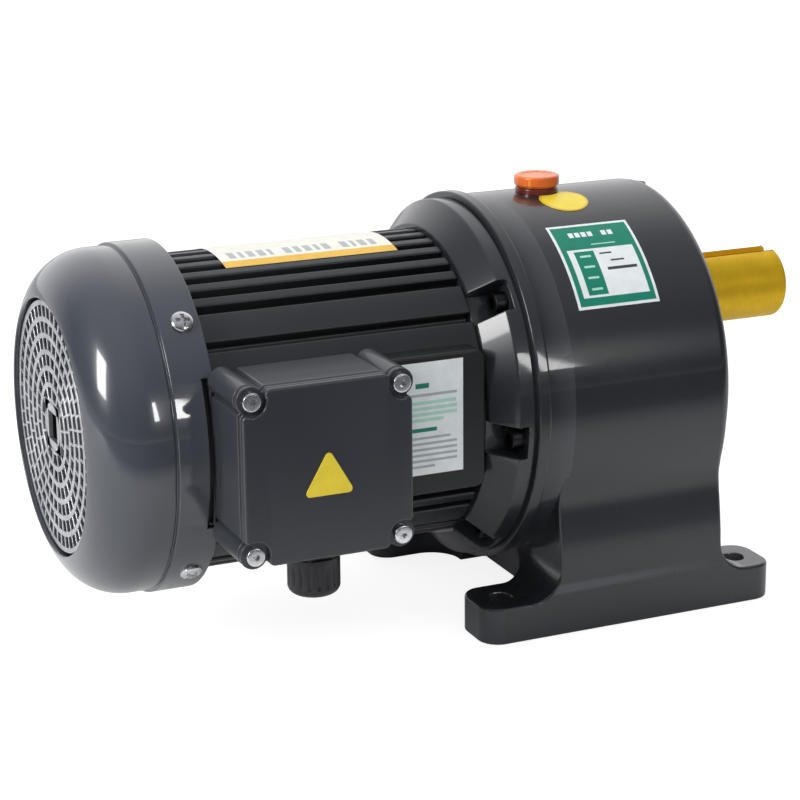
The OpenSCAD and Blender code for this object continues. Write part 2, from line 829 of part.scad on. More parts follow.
// The flat pad's bar, seen from the front
module frame_pad() {
    corner = 4;
    length = frame_len - 1.6;
    z0 = motor_axis_z + pad_rise - pad_half_h;
    difference() {
        translate([frame_back_x, -pad_y, 0])
            rotate([-90, 0, 0])
                translate([0, -z0 - 2 * pad_half_h, 0])
                    linear_extrude(16) {
                        square([length - corner, 2 * pad_half_h]);
                        translate([0, corner])
                            square([length, 2 * pad_half_h - 2 * corner]);
                        for (z = [corner, 2 * pad_half_h - corner])
                            translate([length - corner, z])
                                circle(r = corner);
                    }
        x_cyl(frame_back_x - cut, cover_back_x + cut, frame_bore_r + 3);
    }
}

module motor_frame()
    color(soot)
        difference() {
            union() {
                along_x(frame_back_x)
                    linear_extrude(frame_len)
                        frame_outline();
                frame_pad();
            }
            for (a = quarter_angles)
                around(a, tie_bolt_r)
                    x_cyl(frame_back_x - cut, cover_back_x + cut, tie_bolt_d / 2 + screw_play, 0, 0);
            // Passage for the leads, and the threads for the terminal box
            translate([lead_x, 0, box_z])
                rotate([90, 0, 0])
                    cylinder(r = lead_hole_r, h = pad_y + cut);
            for (p = box_screw_places)
                translate([p[0], -pad_y + box_thread, p[1]])
                    rotate([90, 0, 0])
                        cylinder(d = box_screw_d + 2 * screw_play, h = box_thread + cut);
        }

module rear_endshield()
    color(soot)
        difference() {
            union() {
                x_cyl(endshield_back_x, frame_back_x, endshield_r);
                x_cyl(frame_back_x - cut, frame_back_x + 4, frame_bore_r - seat_play);
                x_cyl(endshield_back_x, rear_bearing_x + rear_bearing_w, rear_bearing_od / 2 + boss_wall);
            }
            difference() {
                x_cyl(endshield_back_x + 4, frame_back_x + 4 + cut, frame_bore_r - 5);
                x_cyl(endshield_back_x, frame_back_x + 20, rear_bearing_od / 2 + boss_wall);
            }
            x_cyl(rear_bearing_x - washer_room, rear_bearing_x + rear_bearing_w + cut, rear_bearing_od / 2);
            x_cyl(endshield_back_x - cut, rear_bearing_x, rear_journal_d / 2 + 1);
            for (a = quarter_angles) {
                around(a, tie_bolt_r)
                    x_cyl(endshield_back_x - cut, frame_back_x + 5, tie_bolt_d / 2 + screw_play, 0, 0);
                turned(a)
                    translate([cowl_screw_x, 0, motor_axis_z + endshield_r - cowl_thread])
                        cylinder(d = cowl_screw_d + 2 * screw_play, h = cowl_thread + cut);
            }
        }

module wave_washer()
    color(steel)
        x_ring(rear_bearing_x - washer_room + 0.1, rear_bearing_x - 0.1,
               rear_bearing_od / 2 - 0.3, rear_bearing_od / 2 - 4);

module tie_bolts()
    color(steel)
        for (a = quarter_angles)
            around(a, tie_bolt_r)
                translate([endshield_back_x, 0, 0])
                    rotate([0, -90, 0])
                        screw(tie_bolt_d, cover_back_x + 7 - endshield_back_x, 7, 3, 3);

module stator_core()
    color(dark_steel)
        along_x(stator_x)
            linear_extrude(stator_len)
                difference() {
                    circle(r = frame_bore_r - seat_play);
                    circle(r = stator_bore_r);
                    for (k = [0:slot_count - 1])
                        rotate([0, 0, k * 360 / slot_count])
                            translate([stator_bore_r + 1.5, -slot_w / 2])
                                square([slot_depth, slot_w]);
                }

// Slot bars joined by the two end windings
module stator_windings()
    color(copper) {
        for (k = [0:slot_count - 1])
            along_x(stator_x - cut)
                rotate([0, 0, k * 360 / slot_count])
                    translate([winding_bar_r, 0.2 - slot_w / 2, 0])
                        cube([slot_depth - 0.4, slot_w - 0.4, stator_len + 2 * cut]);
        for (x0 = [stator_x - winding_reach, stator_x + stator_len + 0.3])
            x_ring(x0, x0 + winding_reach - 0.3, winding_r, winding_bar_r - 0.2);
    }

// --------------------------------------------------------------- fan cowl

// The cowl's profile: radius along local X, distance from the front along local Y
module cowl_solid(inset) {
    shoulder = cowl_shoulder_r - inset;
    centre_r = cowl_r - cowl_shoulder_r;
    centre_x = cowl_shoulder_r;
    translate([0, inset])
        square([centre_r, cowl_len]);
    translate([0, centre_x])
        square([cowl_r - inset, cowl_len]);
    intersection() {
        translate([centre_r, centre_x])
            circle(r = shoulder);
        square([cowl_r, cowl_len]);
    }
    translate([0, cowl_len - cowl_rim_len + inset])
        square([cowl_rim_r - inset, 2 * cowl_len]);
}

module fan_cowl()
    color(slate)
        difference() {
            along_x(cowl_front_x)
                rotate_extrude()
                    difference() {
                        intersection() {
                            cowl_solid(0);
                            square([cowl_rim_r, cowl_len]);
                        }
                        intersection() {
                            cowl_solid(cowl_wall);
                            translate([0, cowl_wall])
                                square([cowl_rim_r, cowl_len]);
                        }
                        translate([0, -cut])
                            square([grille_r, grille_seat + cut + grille_t + 1]);
                    }
            turned_screw_holes();
            // Notch for the motor's pad
            translate([cowl_rear_x - cowl_notch_len, -cowl_rim_r - cut,
                    motor_axis_z + pad_rise - pad_half_h - 1])
                cube([cowl_notch_len + cut, cowl_rim_r, 2 * pad_half_h + 2]);
        }

module turned_screw_holes()
    for (a = quarter_angles)
        turned(a)
            translate([cowl_screw_x, 0, motor_axis_z + endshield_r - cut])
                cylinder(d = cowl_screw_d + 2 * screw_play, h = 10);

// One ring of slots through the grille
module slot_ring(index) {
    pitch = (grille_r - 8) / grille_rings;
    r = 6.5 + index * pitch;
    count = 4 + 4 * index;
    for (k = [0:count - 1])
        rotate([0, 0, (k + index / 2) * 360 / count])
            translate([r, -PI * r / count + 1])
                square([pitch - 1.8, 2 * PI * r / count - 2]);
}

module cowl_grille()
    color("#a9adb2")
        along_x(cowl_front_x + grille_seat)
            linear_extrude(grille_t)
                difference() {
                    circle(r = grille_r - 0.1);
                    square([5, 5], center = true);
                    for (i = [0:grille_rings - 1])
                        slot_ring(i);
                }

module cowl_screws()
    color(steel)
        for (a = quarter_angles)
            turned(a)
                translate([cowl_screw_x, 0, motor_axis_z + cowl_rim_r])
                    screw(cowl_screw_d, cowl_rim_r - endshield_r + cowl_thread - 0.4, 8, 2.4, 3);

// ------------------------------------------------------------ terminal box

// Outline of the box in local X and Z, centred on the box
module box_outline(inset = 0)
    difference() {
        square([box_len - 2 * inset, box_h - 2 * inset], center = true);
        for (sx = [-1, 1], sz = [-1, 1])
            translate([sx * box_len / 2, sz * box_h / 2])
                rotate([0, 0, 45])
                    square(1.4142 * (box_chamfer + inset * 0.586), center = true);
    }

module ear_circles(r)
    for (sx = [-1, 1], sz = [-1, 1])
        translate([sx * cover_screw_pitch / 2, sz * cover_screw_pitch / 2])
            circle(r = r);

// Extrudes an outline from the plane y0 to the plane y1, nearer the viewer of the cover
module box_plate(y0, y1)
    translate([box_x, y0, box_z])
        rotate([90, 0, 0])
            linear_extrude(y0 - y1)
                children();

module terminal_box()
    color(slate)
        difference() {
            box_plate(box_back_y, box_front_y) {
                box_outline();
                ear_circles(cover_ear_r);
            }
            box_plate(box_back_y - box_wall, box_front_y - cut)
                difference() {
                    box_outline(box_wall);
                    ear_circles(cover_ear_r);
                }
            box_plate(box_front_y + cover_thread, box_front_y - cut)
                ear_circles(cover_screw_d / 2 + screw_play);
            translate([lead_x, -pad_y + cut, box_z])
                rotate([90, 0, 0])
                    cylinder(r = lead_hole_r, h = 10);
            for (p = box_screw_places)
                translate([p[0], -pad_y + cut, p[1]])
                    rotate([90, 0, 0])
                        cylinder(d = box_screw_d + 2 * screw_play, h = 10);
            translate([box_x, gland_y, box_bottom_z - cut])
                cylinder(d = gland_thread_d + 2 * screw_play, h = box_wall + 2 * cut);
        }

module terminal_box_gasket()
    color(rubber)
        difference() {
            translate([box_x, -pad_y, box_z])
                rotate([90, 0, 0])
                    linear_extrude(box_gasket_t)
                        square([box_len - 6, 2 * pad_half_h - 4], center = true);
            translate([lead_x, -pad_y + cut, box_z])
                rotate([90, 0, 0])
                    cylinder(r = lead_hole_r, h = 10);
            for (p = box_screw_places)
                translate([p[0], -pad_y + cut, p[1]])
                    rotate([90, 0, 0])
                        cylinder(d = box_screw_d + 2 * screw_play, h = 10);
        }

module box_screws()
    color(steel)
        for (p = box_screw_places)
            translate([p[0], box_back_y - box_wall, p[1]])
                rotate([90, 0, 0])
                    screw(box_screw_d, box_wall + box_gasket_t + box_thread - 1, 7, 2.4, 3);

module cover_gasket()
    color(rubber)
        box_plate(box_front_y, cover_back_y)
            difference() {
                union() {
                    box_outline(0.2);
                    ear_circles(cover_ear_r - 0.2);
                }
                box_outline(box_wall);
                ear_circles(cover_screw_d / 2 + screw_play);
            }

module terminal_cover()
    color(slate)
        difference() {
            union() {
                box_plate(cover_back_y, cover_ledge_y) {
                    box_outline();
                    ear_circles(cover_ear_r);
                }
                box_plate(cover_ledge_y + cut / 2, cover_face_y)
                    difference() {
                        box_outline();
                        ear_circles(cover_ear_r);
                    }
            }
            box_plate(cover_back_y + cut, cover_ledge_y - cut)
                ear_circles(cover_screw_d / 2 + screw_play);
        }

module cover_screws()
    color(steel)
        for (sx = [-1, 1], sz = [-1, 1])
            translate([box_x + sx * cover_screw_pitch / 2, cover_ledge_y, box_z + sz * cover_screw_pitch / 2])
                rotate([90, 0, 0])
                    screw(cover_screw_d, cover_base_t + box_gasket_t + cover_thread - 1, 6.5, 2.2, 2.6);

// A plain yellow patch with three rounded corners
module cover_patch()
    color("#e9d334")
        translate([box_x - 0.4, cover_face_y - label_gap, box_z - 3])
            rotate([90, 0, 0])
                linear_extrude(label_t)
                    patch_outline(18.8, 1.4);

module patch_outline(side, r) {
    corner_r = side / sqrt(3) - 2 * r;
    centres = [for (a = [90, 210, 330]) corner_r * [cos(a), sin(a)]];
    for (c = centres)
        translate(c)
            circle(r = r);
    polygon([
        for (i = [0:2], s = [-60, 60])
            centres[i] + r * [cos(90 + 120 * i + s), sin(90 + 120 * i + s)]
    ]);
}

// ---------------------------------------------------------- terminal board

module terminal_block()
    color("#3b2a20")
        difference() {
            translate([block_x - 15.5, block_y - block_t, block_z - 11])
                cube([31, block_t, 22]);
            for (p = stud_places)
                translate([p[0], block_y - block_t + stud_root, p[1]])
                    rotate([90, 0, 0])
                        cylinder(d = stud_d + 2 * seat_play, h = 10);
        }

module terminal_studs()
    color(brass)
        for (p = stud_places)
            translate([p[0], block_y - block_t + stud_root, p[1]])
                rotate([90, 0, 0])
                    cylinder(d = stud_d, h = stud_root + stud_len);

module terminal_links()
    color(brass)
        for (sx = [-1:1])
            difference() {
                translate([block_x + sx * stud_pitch_x - 3, block_y - block_t - link_t,
                        block_z - link_half_len])
                    cube([6, link_t, 2 * link_half_len]);
                for (p = stud_places)
                    translate([p[0], block_y, p[1]])
                        rotate([90, 0, 0])
                            cylinder(d = stud_d + 2 * screw_play, h = 20);
            }

module terminal_nuts()
    color(brass)
        for (p = stud_places)
            translate([p[0], block_y - block_t - link_t - lug_ring_t, p[1]])
                rotate([90, 0, 0])
                    difference() {
                        cylinder(d = 8, h = 3, $fn = 6);
                        translate([0, 0, -cut])
                            cylinder(d = stud_d + 2 * screw_play, h = 6);
                    }

// A round rod between two points
module rod(from, to, d) {
    v = to - from;
    translate(from)
        rotate([0, acos(v[2] / norm(v)), atan2(v[1], v[0])])
            cylinder(d = d, h = norm(v), $fn = 16);
}

// A wire through a list of points, with round elbows
module wire(points) {
    for (i = [1:len(points) - 1])
        rod(points[i - 1], points[i], wire_d);
    for (i = [1:len(points) - 2])
        translate(points[i])
            sphere(d = wire_d + 0.2, $fn = 16);
}

// A lead from the end winding, through the grommet, to one stud, with its ring lug
module motor_lead(index) {
    column = index % 3;
    side = index < 3 ? 1 : -1;
    stud = stud_places[index];
    wire_y = block_y - block_t - link_t - lug_ring_t / 2;
    entry_x = lead_x + 2.2 * (1 - column);
    entry_z = box_z + side * 2;
    row_z = block_z + side * (link_half_len + 1.6 + 1.9 * column);
    end_z = stud[1] + side * 4.7;
    wire([
        [entry_x, -winding_r - 0.3, entry_z], [entry_x, wire_y, entry_z], [entry_x, wire_y, row_z],
        [stud[0], wire_y, row_z], [stud[0], wire_y, end_z - side * 0.1]
    ]);
    difference() {
        translate([stud[0], wire_y + lug_ring_t / 2, stud[1]])
            rotate([90, 0, 0])
                linear_extrude(lug_ring_t) {
                    circle(r = 3.2, $fn = 24);
                    translate([-0.6, side > 0 ? 0 : -5.2])
                        square([1.2, 5.2]);
                }
        translate([stud[0], wire_y + 5, stud[1]])
            rotate([90, 0, 0])
                cylinder(d = stud_d + 2 * screw_play, h = 10, $fn = 24);
    }
}

module motor_leads()
    color("#7d2f22")
        for (i = [0:5])
            motor_lead(i);

module lead_grommet()
    color(rubber)
        translate([lead_x, 0, box_z])
            rotate([90, 0, 0])
                difference() {
                    union() {
                        translate([0, 0, frame_bore_r + 1])
                            cylinder(r = lead_hole_r - 0.1, h = -box_back_y + box_wall - frame_bore_r - 1);
                        translate([0, 0, -box_back_y + box_wall])
                            cylinder(r = lead_hole_r + 1.2, h = 1.2);
                    }
                    cylinder(r = lead_hole_r - 1.6, h = 100);
                }

module earth_screw()
    color(brass)
        translate([earth_screw_x, block_y, earth_screw_z])
            rotate([90, 0, 0]) {
                cylinder(d = 8, h = 0.8);
                translate([0, 0, 0.8])
                    screw(3.5, 0.8, 6.5, 2.4, 3);
            }

// -------------------------------------------------------------- cable gland

module gland_body()
    color(rubber)
        translate([box_x, gland_y, box_bottom_z])
            difference() {
                union() {
                    translate([0, 0, -gland_flange_h])
                        cylinder(d = gland_cap_d, h = gland_flange_h, $fn = 6);
                    translate([0, 0, -gland_flange_h - 7])
                        cylinder(d = gland_thread_d, h = gland_flange_h + 7 + box_wall + 6);
                }
                translate([0, 0, -20])
                    cylinder(d = gland_thread_d - 3.4, h = 40);
            }

module gland_locknut()
    color(rubber)
        translate([box_x, gland_y, gland_nut_z])
            difference() {
                cylinder(d = 18, h = 4, $fn = 6);
                translate([0, 0, -cut])
                    cylinder(d = gland_thread_d + 2 * screw_play, h = 6);
            }

module gland_cap()
    color(rubber)
        translate([box_x, gland_y, box_bottom_z - gland_flange_h - 0.3 - gland_cap_h])
            difference() {
                union() {
                    translate([0, 0, 3])
                        cylinder(d = gland_cap_d, h = gland_cap_h - 3);
                    rotate_extrude() {
                        square([gland_cap_d / 2 - 3, gland_cap_h - 1]);
                        translate([gland_cap_d / 2 - 3, 3])
                            circle(r = 3);
                    }
                }
                translate([0, 0, 5])
                    cylinder(d = gland_thread_d + 2 * screw_play, h = gland_cap_h);
                translate([0, 0, -cut])
                    cylinder(d = gland_bore_d, h = gland_cap_h);
            }

module gland_seal()
    color("#303030")
        translate([box_x, gland_y, box_bottom_z - gland_flange_h - 0.3 - gland_cap_h + 5])
            difference() {
                cylinder(d = gland_thread_d - 0.2, h = 2.1);
                translate([0, 0, -cut])
                    cylinder(d = seal_bore_d, h = 6);
            }

// -------------------------------------------------------- seals, bearings

module shaft_seal(x, y, z, shaft_r, od)
    color(rubber)
        along_x(x, y, z)
            rotate_extrude()
                difference() {
                    translate([shaft_r + seal_play, 0])
                        square([od / 2 - seat_play - shaft_r - seal_play, seal_w]);
                    translate([shaft_r + 2.2, -cut])
                        square([1.6, seal_w - 1]);
                }

module input_seal()
    shaft_seal(input_seal_x, 0, motor_axis_z, front_journal_d / 2, input_seal_od);

module output_seal()
    shaft_seal(case_front_x - seal_w - 0.2, 0, output_z, output_journal_d / 2, output_seal_od);

module motor_bearing_outers()
    color(steel) {
        bearing_outer(front_bearing_x, 0, motor_axis_z, front_journal_d, front_bearing_od, front_bearing_w);
        bearing_outer(rear_bearing_x, 0, motor_axis_z, rear_journal_d, rear_bearing_od, rear_bearing_w);
    }

module motor_bearing_inners()
    color(steel) {
        bearing_inner(front_bearing_x, 0, motor_axis_z, front_journal_d, front_bearing_od, front_bearing_w);
        bearing_inner(rear_bearing_x, 0, motor_axis_z, rear_journal_d, rear_bearing_od, rear_bearing_w);
    }

module motor_ball_sets()
    color(dark_steel) {
        ball_set(front_bearing_x, 0, motor_axis_z, front_journal_d, front_bearing_od, front_bearing_w);
        ball_set(rear_bearing_x, 0, motor_axis_z, rear_journal_d, rear_bearing_od, rear_bearing_w);
    }

module counter_bearing_outers()
    color(steel)
        for (x = [counter_rear_x, counter_front_x])
            bearing_outer(x, counter_y, counter_z, counter_journal_d, counter_bearing_od, counter_bearing_w);

module counter_bearing_inners()
    color(steel)
        for (x = [counter_rear_x, counter_front_x])
            bearing_inner(x, counter_y, counter_z, counter_journal_d, counter_bearing_od, counter_bearing_w);

module counter_ball_sets()
    color(dark_steel)
        for (x = [counter_rear_x, counter_front_x])
            ball_set(x, counter_y, counter_z, counter_journal_d, counter_bearing_od, counter_bearing_w);

module output_bearing_outers()
    color(steel) {
        bearing_outer(output_bearing_x, 0, output_z, output_journal_d, output_bearing_od, output_bearing_w);
        bearing_outer(tail_bearing_x, 0, output_z, output_tail_d, tail_bearing_od, tail_bearing_w);
    }

module output_bearing_inners()
    color(steel) {
        bearing_inner(output_bearing_x, 0, output_z, output_journal_d, output_bearing_od, output_bearing_w);
        bearing_inner(tail_bearing_x, 0, output_z, output_tail_d, tail_bearing_od, tail_bearing_w);
    }

module output_ball_set()
    color(dark_steel)
        ball_set(output_bearing_x, 0, output_z, output_journal_d, output_bearing_od, output_bearing_w);

module tail_ball_set()
    color(dark_steel)
        ball_set(tail_bearing_x, 0, output_z, output_tail_d, tail_bearing_od, tail_bearing_w);

// ------------------------------------------------------------------ shafts

module motor_shaft()
    color(steel)
        difference() {
            union() {
                x_cyl(shaft_end_x, rear_bearing_x - 1.5, fan_seat_r);
                x_cyl(rear_bearing_x - 1.5, rear_bearing_x + rear_bearing_w, rear_journal_d / 2);
                x_cyl(rear_bearing_x + rear_bearing_w, front_bearing_x, rotor_seat_r);
                x_cyl(front_bearing_x, input_seal_x + seal_w, front_journal_d / 2);
                x_cyl(input_seal_x + seal_w, stage1_x - pinion_extra / 2, neck_r);
                x_gear(stage1_x - pinion_extra / 2, stage1_pinion_face, stage1_module, stage1_pinion_teeth,
                       stage1_shift, 0, motor_axis_z, stage1_dir[0], stage1_dir[1]);
            }
            // Groove for the fan's ring
            x_ring(fan_x - 0.9, fan_x, fan_seat_r + 1, fan_seat_r - 0.8);
        }

module rotor_core()
    color(dark_steel) {
        rotor_r = stator_bore_r - air_gap;
        x_ring(stator_x, stator_x + stator_len, rotor_r, rotor_seat_r + seat_play);
        for (x0 = [stator_x - end_ring_w, stator_x + stator_len])
            x_ring(x0, x0 + end_ring_w, rotor_r - 1.5, rotor_seat_r + 6);
    }

module cooling_fan()
    color("#2a2c2f")
        difference() {
            union() {
                x_cyl(fan_x, fan_x + fan_w, fan_seat_r + 5);
                x_cyl(fan_x + fan_w - 2, fan_x + fan_w, fan_r);
                for (k = [0:fan_blades - 1])
                    turned(k * 360 / fan_blades)
                        translate([fan_x + 3, -0.9, motor_axis_z + fan_seat_r + 3])
                            cube([fan_w - 4, 1.8, fan_r - fan_seat_r - 4]);
            }
            x_cyl(fan_x - cut, fan_x + fan_w + cut, fan_seat_r + seat_play);
        }

module fan_circlip()
    color(steel)
        difference() {
            x_ring(fan_x - 0.85, fan_x - 0.05, fan_seat_r + 2.2, fan_seat_r - 0.7);
            translate([fan_x - 2, -1.6, motor_axis_z])
                cube([4, 3.2, fan_seat_r + 4]);
        }

module countershaft()
    color(steel) {
        pinion_x = stage2_x - pinion_extra / 2;
        x_cyl(counter_rear_x, counter_rear_x + counter_bearing_w, counter_journal_d / 2,
            counter_y, counter_z);
        x_cyl(boss_front_x, counter_front_x, counter_body_r, counter_y, counter_z);
        x_cyl(counter_front_x, counter_front_x + counter_bearing_w, counter_journal_d / 2,
            counter_y, counter_z);
        x_gear(pinion_x, stage2_face + pinion_extra, stage2_module, stage2_pinion_teeth,
               0, counter_y, counter_z, stage2_dir[0], stage2_dir[1]);
    }

module first_stage_gear()
    color(dark_steel)
        difference() {
            x_gear(stage1_x, stage1_face, stage1_module, stage1_gear_teeth, -stage1_shift,
                   counter_y, counter_z, -stage1_dir[0], -stage1_dir[1], 180 / stage1_gear_teeth);
            x_cyl(stage1_x - cut, stage1_x + stage1_face + cut, counter_body_r + seat_play,
                counter_y, counter_z);
            for (x = [stage1_x - cut, stage1_x + stage1_face - 2.5])
                x_ring(x, x + 2.5 + cut, 20, counter_body_r + 4.5, counter_y, counter_z);
        }

// The shaft's free end, about the X axis
module output_end() {
    x_cyl(0, output_len - output_chamfer, output_d / 2, 0, 0);
    x_cone(output_len - output_chamfer, output_len, output_d / 2, output_d / 2 - output_chamfer, 0, 0);
}

module output_shaft()
    color("#c98f1b")
        difference() {
            union() {
                x_cyl(tail_bearing_x, tail_bearing_x + tail_bearing_w, output_tail_d / 2, 0, output_z);
                x_cyl(boss_front_x, stage2_x - 3, output_body_r, 0, output_z);
                x_cyl(stage2_x - 3, stage2_x + stage2_face, output_seat_d / 2, 0, output_z);
                x_cyl(stage2_x + stage2_face, output_bearing_x, output_seat_d / 2 + 1.5, 0, output_z);
                x_cyl(output_bearing_x, case_front_x, output_journal_d / 2, 0, output_z);
                // Turned half a turn about its axis, so the seam of its round face lies in the keyway
                translate([case_front_x, 0, output_z])
                    rotate([180, 0, 0])
                        output_end();
            }
            // Keyway, open at the free end
            translate([case_front_x + output_len - keyway_len, -keyway_w / 2,
                    output_z + output_d / 2 - keyway_depth])
                cube([keyway_len + cut, keyway_w, keyway_depth + cut]);
            translate([case_front_x + output_len - keyway_len, 0, output_z + output_d / 2 - keyway_depth])
                cylinder(d = keyway_w, h = keyway_depth + cut);
            translate([stage2_x + 1.5, -gear_key_w / 2, key_z])
                cube([key_len, gear_key_w, key_h]);
            x_ring(stage2_x - 1.4, stage2_x, output_seat_d / 2 + 1, output_seat_d / 2 - 1.2, 0, output_z);
        }

module output_gear()
    color(dark_steel)
        difference() {
            x_gear(stage2_x, stage2_face, stage2_module, stage2_gear_teeth, 0,
                   0, output_z, -stage2_dir[0], -stage2_dir[1], 180 / stage2_gear_teeth);
            x_cyl(stage2_x - cut, stage2_x + stage2_face + cut, output_seat_d / 2 + seat_play, 0, output_z);
            translate([stage2_x - cut, -gear_key_w / 2, key_z])
                cube([stage2_face + 2 * cut, gear_key_w, key_h]);
            for (x = [stage2_x - cut, stage2_x + stage2_face - 3])
                x_ring(x, x + 3 + cut, 27, output_seat_d / 2 + 5.5, 0, output_z);
        }

module gear_key()
    color(steel)
        translate([stage2_x + 1.5, -gear_key_w / 2, key_z])
            cube([key_len, gear_key_w, key_h - 0.3]);

module output_circlip()
    color(steel)
        difference() {
            x_ring(stage2_x - 1.3, stage2_x - 0.05,
                output_seat_d / 2 + 2.8, output_seat_d / 2 - 1.1, 0, output_z);
            translate([stage2_x - 3, -3, output_z])
                cube([6, 6, output_seat_d]);
        }

gearcase();
flange_cover();
flange_gasket();
flange_screws();
oil_plug();
oil_plug_washer();
gearbox_label();
oil_label();
motor_frame();
rear_endshield();
tie_bolts();
stator_core();
stator_windings();
fan_cowl();
cowl_grille();
cowl_screws();
top_label();
motor_label();
terminal_box();
terminal_box_gasket();
box_screws();
terminal_cover();
cover_gasket();
cover_screws();
cover_patch();
terminal_block();
terminal_studs();
terminal_nuts();
terminal_links();
earth_screw();
lead_grommet();
motor_leads();
gland_body();
gland_locknut();
gland_seal();
gland_cap();
wave_washer();
input_seal();
output_seal();
motor_bearing_outers();
motor_bearing_inners();
motor_ball_sets();
counter_bearing_outers();
counter_bearing_inners();
counter_ball_sets();
output_bearing_outers();
output_bearing_inners();
output_ball_set();
tail_ball_set();
motor_shaft();
rotor_core();
cooling_fan();
fan_circlip();
countershaft();
first_stage_gear();
output_shaft();
output_gear();
gear_key();
output_circlip();
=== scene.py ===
# Looks of a foot-mounted inline gear reducer with its finned motor.
# Sizes are in millimetres in this script and become metres when a mesh is made.
# +X runs along the output shaft to its free end, -Y faces the terminal cover, +Z is up.

import json
from math import asin, atan2, ceil, cos, degrees, hypot, pi, radians, sin, sqrt, tan

import bmesh
import bpy
from mathutils import Matrix, Vector


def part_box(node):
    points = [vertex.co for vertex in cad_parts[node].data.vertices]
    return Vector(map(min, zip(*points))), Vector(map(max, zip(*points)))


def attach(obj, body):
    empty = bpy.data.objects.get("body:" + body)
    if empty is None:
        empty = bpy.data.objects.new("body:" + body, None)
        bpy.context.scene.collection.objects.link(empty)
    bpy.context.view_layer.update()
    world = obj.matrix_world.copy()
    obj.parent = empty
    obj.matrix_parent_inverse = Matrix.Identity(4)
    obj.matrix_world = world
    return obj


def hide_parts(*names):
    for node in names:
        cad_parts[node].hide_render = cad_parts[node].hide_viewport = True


MM = 0.001

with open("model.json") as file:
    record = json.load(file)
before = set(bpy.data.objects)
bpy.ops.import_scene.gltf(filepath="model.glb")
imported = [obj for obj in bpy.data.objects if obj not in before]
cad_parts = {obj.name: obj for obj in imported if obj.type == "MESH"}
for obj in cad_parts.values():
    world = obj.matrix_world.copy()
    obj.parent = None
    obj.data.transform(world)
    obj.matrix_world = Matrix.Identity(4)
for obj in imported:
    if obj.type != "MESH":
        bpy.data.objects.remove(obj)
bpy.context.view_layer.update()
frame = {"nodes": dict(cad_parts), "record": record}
scene = bpy.context.scene
scene.view_settings.view_transform = "Standard"


# ---- frame and sizes


def node_box(name):
    """A CAD node's lowest and highest corners, in millimetres."""
    low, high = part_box(name)
    return Vector(low) / MM, Vector(high) / MM


def middle(name):
    low, high = node_box(name)
    return (low + high) / 2


CASE_HIGH = node_box("gearcase")[1]
COVER_HIGH = node_box("flange_cover")[1]
FRAME_LOW = node_box("motor_frame")[0]
COWL_LOW, COWL_HIGH = node_box("fan_cowl")
BOX_LOW, BOX_HIGH = node_box("terminal_box")
LID_LOW, LID_HIGH = node_box("terminal_cover")
SHAFT_LOW, SHAFT_HIGH = node_box("output_shaft")

# Axes of the motor and of the output shaft
AXIS_Z = middle("fan_cowl").z
OUTPUT_Z = middle("output_shaft").z

# Gearcase
CASE_R = CASE_HIGH.z - AXIS_Z - 1.7
COLLAR_R = CASE_HIGH.z - AXIS_Z - 0.01
COLLAR_T = 4.6
CASE_BACK = node_box("flange_gasket")[1].x
CASE_FRONT = node_box("output_seal")[1].x + 0.5
CASE_EDGE = 5.0
PEDESTAL_BACK = -30.8
FOOT_HALF_W = 63.5
FOOT_HALF_LEN = CASE_HIGH.x
FOOT_T = 14.0
LUG_W = 25.5
LUG_CORNER = 8.0
LUG_FILLET = 12.0
HOLE_X = 50.0
HOLE_Y = 51.0
HOLE_R = 4.5
RELIEF_H = 9.2
RELIEF_HALF_W = 24.0
BORE_R = (node_box("output_seal")[1].z - node_box("output_seal")[0].z) / 2 + 0.05
BORE_START = 20.0
WAIST_DROP = 32.1
WAIST_EASE = 8
WAIST_PULL = 9.0
PEDESTAL_FULL_Z = 30.0
PEDESTAL_TOE_R = 90.0
PEDESTAL_STRAIGHT = 14.0

# Rounding of the gearcase's other edges, and the Z range over which its front edge grows to CASE_EDGE
SMALL_EDGE = 1.1
HOLE_EDGE = 0.4
BORE_EDGE = 0.7
UNDERSIDE_EDGE = 0.8
EDGE_GROWS = (45.0, 75.0)

# Flange cover
COVER_FRONT = node_box("flange_gasket")[0].x
COVER_BACK = COVER_FRONT - 14.4
COVER_R = COVER_HIGH.z - AXIS_Z
COVER_RIM = 5.9
COVER_NECK_R = 59.0
FLANGE_SCREW_R = 60.5
FLANGE_ANGLES = (50, 97, 144, -50, -97, -144)
NOTCH_W = 12.0
NOTCH_FLOOR = COVER_FRONT - 2.5

# Motor frame and its pad
FRAME_R = 57.5
FRAME_BORE_R = 48.0
FIN_COUNT = 48
FIN_GAP = 3.4
FIN_DEPTH = 4.5
PAD_Y = -FRAME_LOW.y
PAD_HALF_H = 25.6
PAD_Z = AXIS_Z + 1.2
PAD_CORNER = 4.0
PAD_DEPTH = 14.0
PAD_GAP = 1.6
QUARTERS = (45, 135, 225, 315)

# Fan cowl and its grille
COWL_R = 62.3
COWL_RIM_R = 63.3
COWL_RIM_LEN = 14.7
COWL_SHOULDER = 21.3
COWL_WALL = 1.5
COWL_FRONT = COWL_LOW.x - 0.67
COWL_REAR = COWL_HIGH.x
GRILLE_R = 46.3
GRILLE_BACK, GRILLE_FRONT = (corner.x for corner in node_box("cowl_grille"))
GRILLE_BAR = 1.9
GRILLE_RINGS = 7
GRILLE_HUB_R = 8.4
GRILLE_HUB_HOLE = 5.3
GRILLE_BRIDGE_W = 1.0
GRILLE_BRIDGE_PITCH = 5.0
COWL_NOTCH = 4.4
COWL_SCREW_X = middle("cowl_screws").x

# Terminal box and its cover
BOX_LEN = 60.6
BOX_H = 61.4
BOX_X = -132.6
BOX_Z = AXIS_Z + 0.8
BOX_CHAMFER = 9.5
SCREW_PITCH = 53.4
EAR_R = 4.9
LEDGE_Y = LID_HIGH.y - 2.0

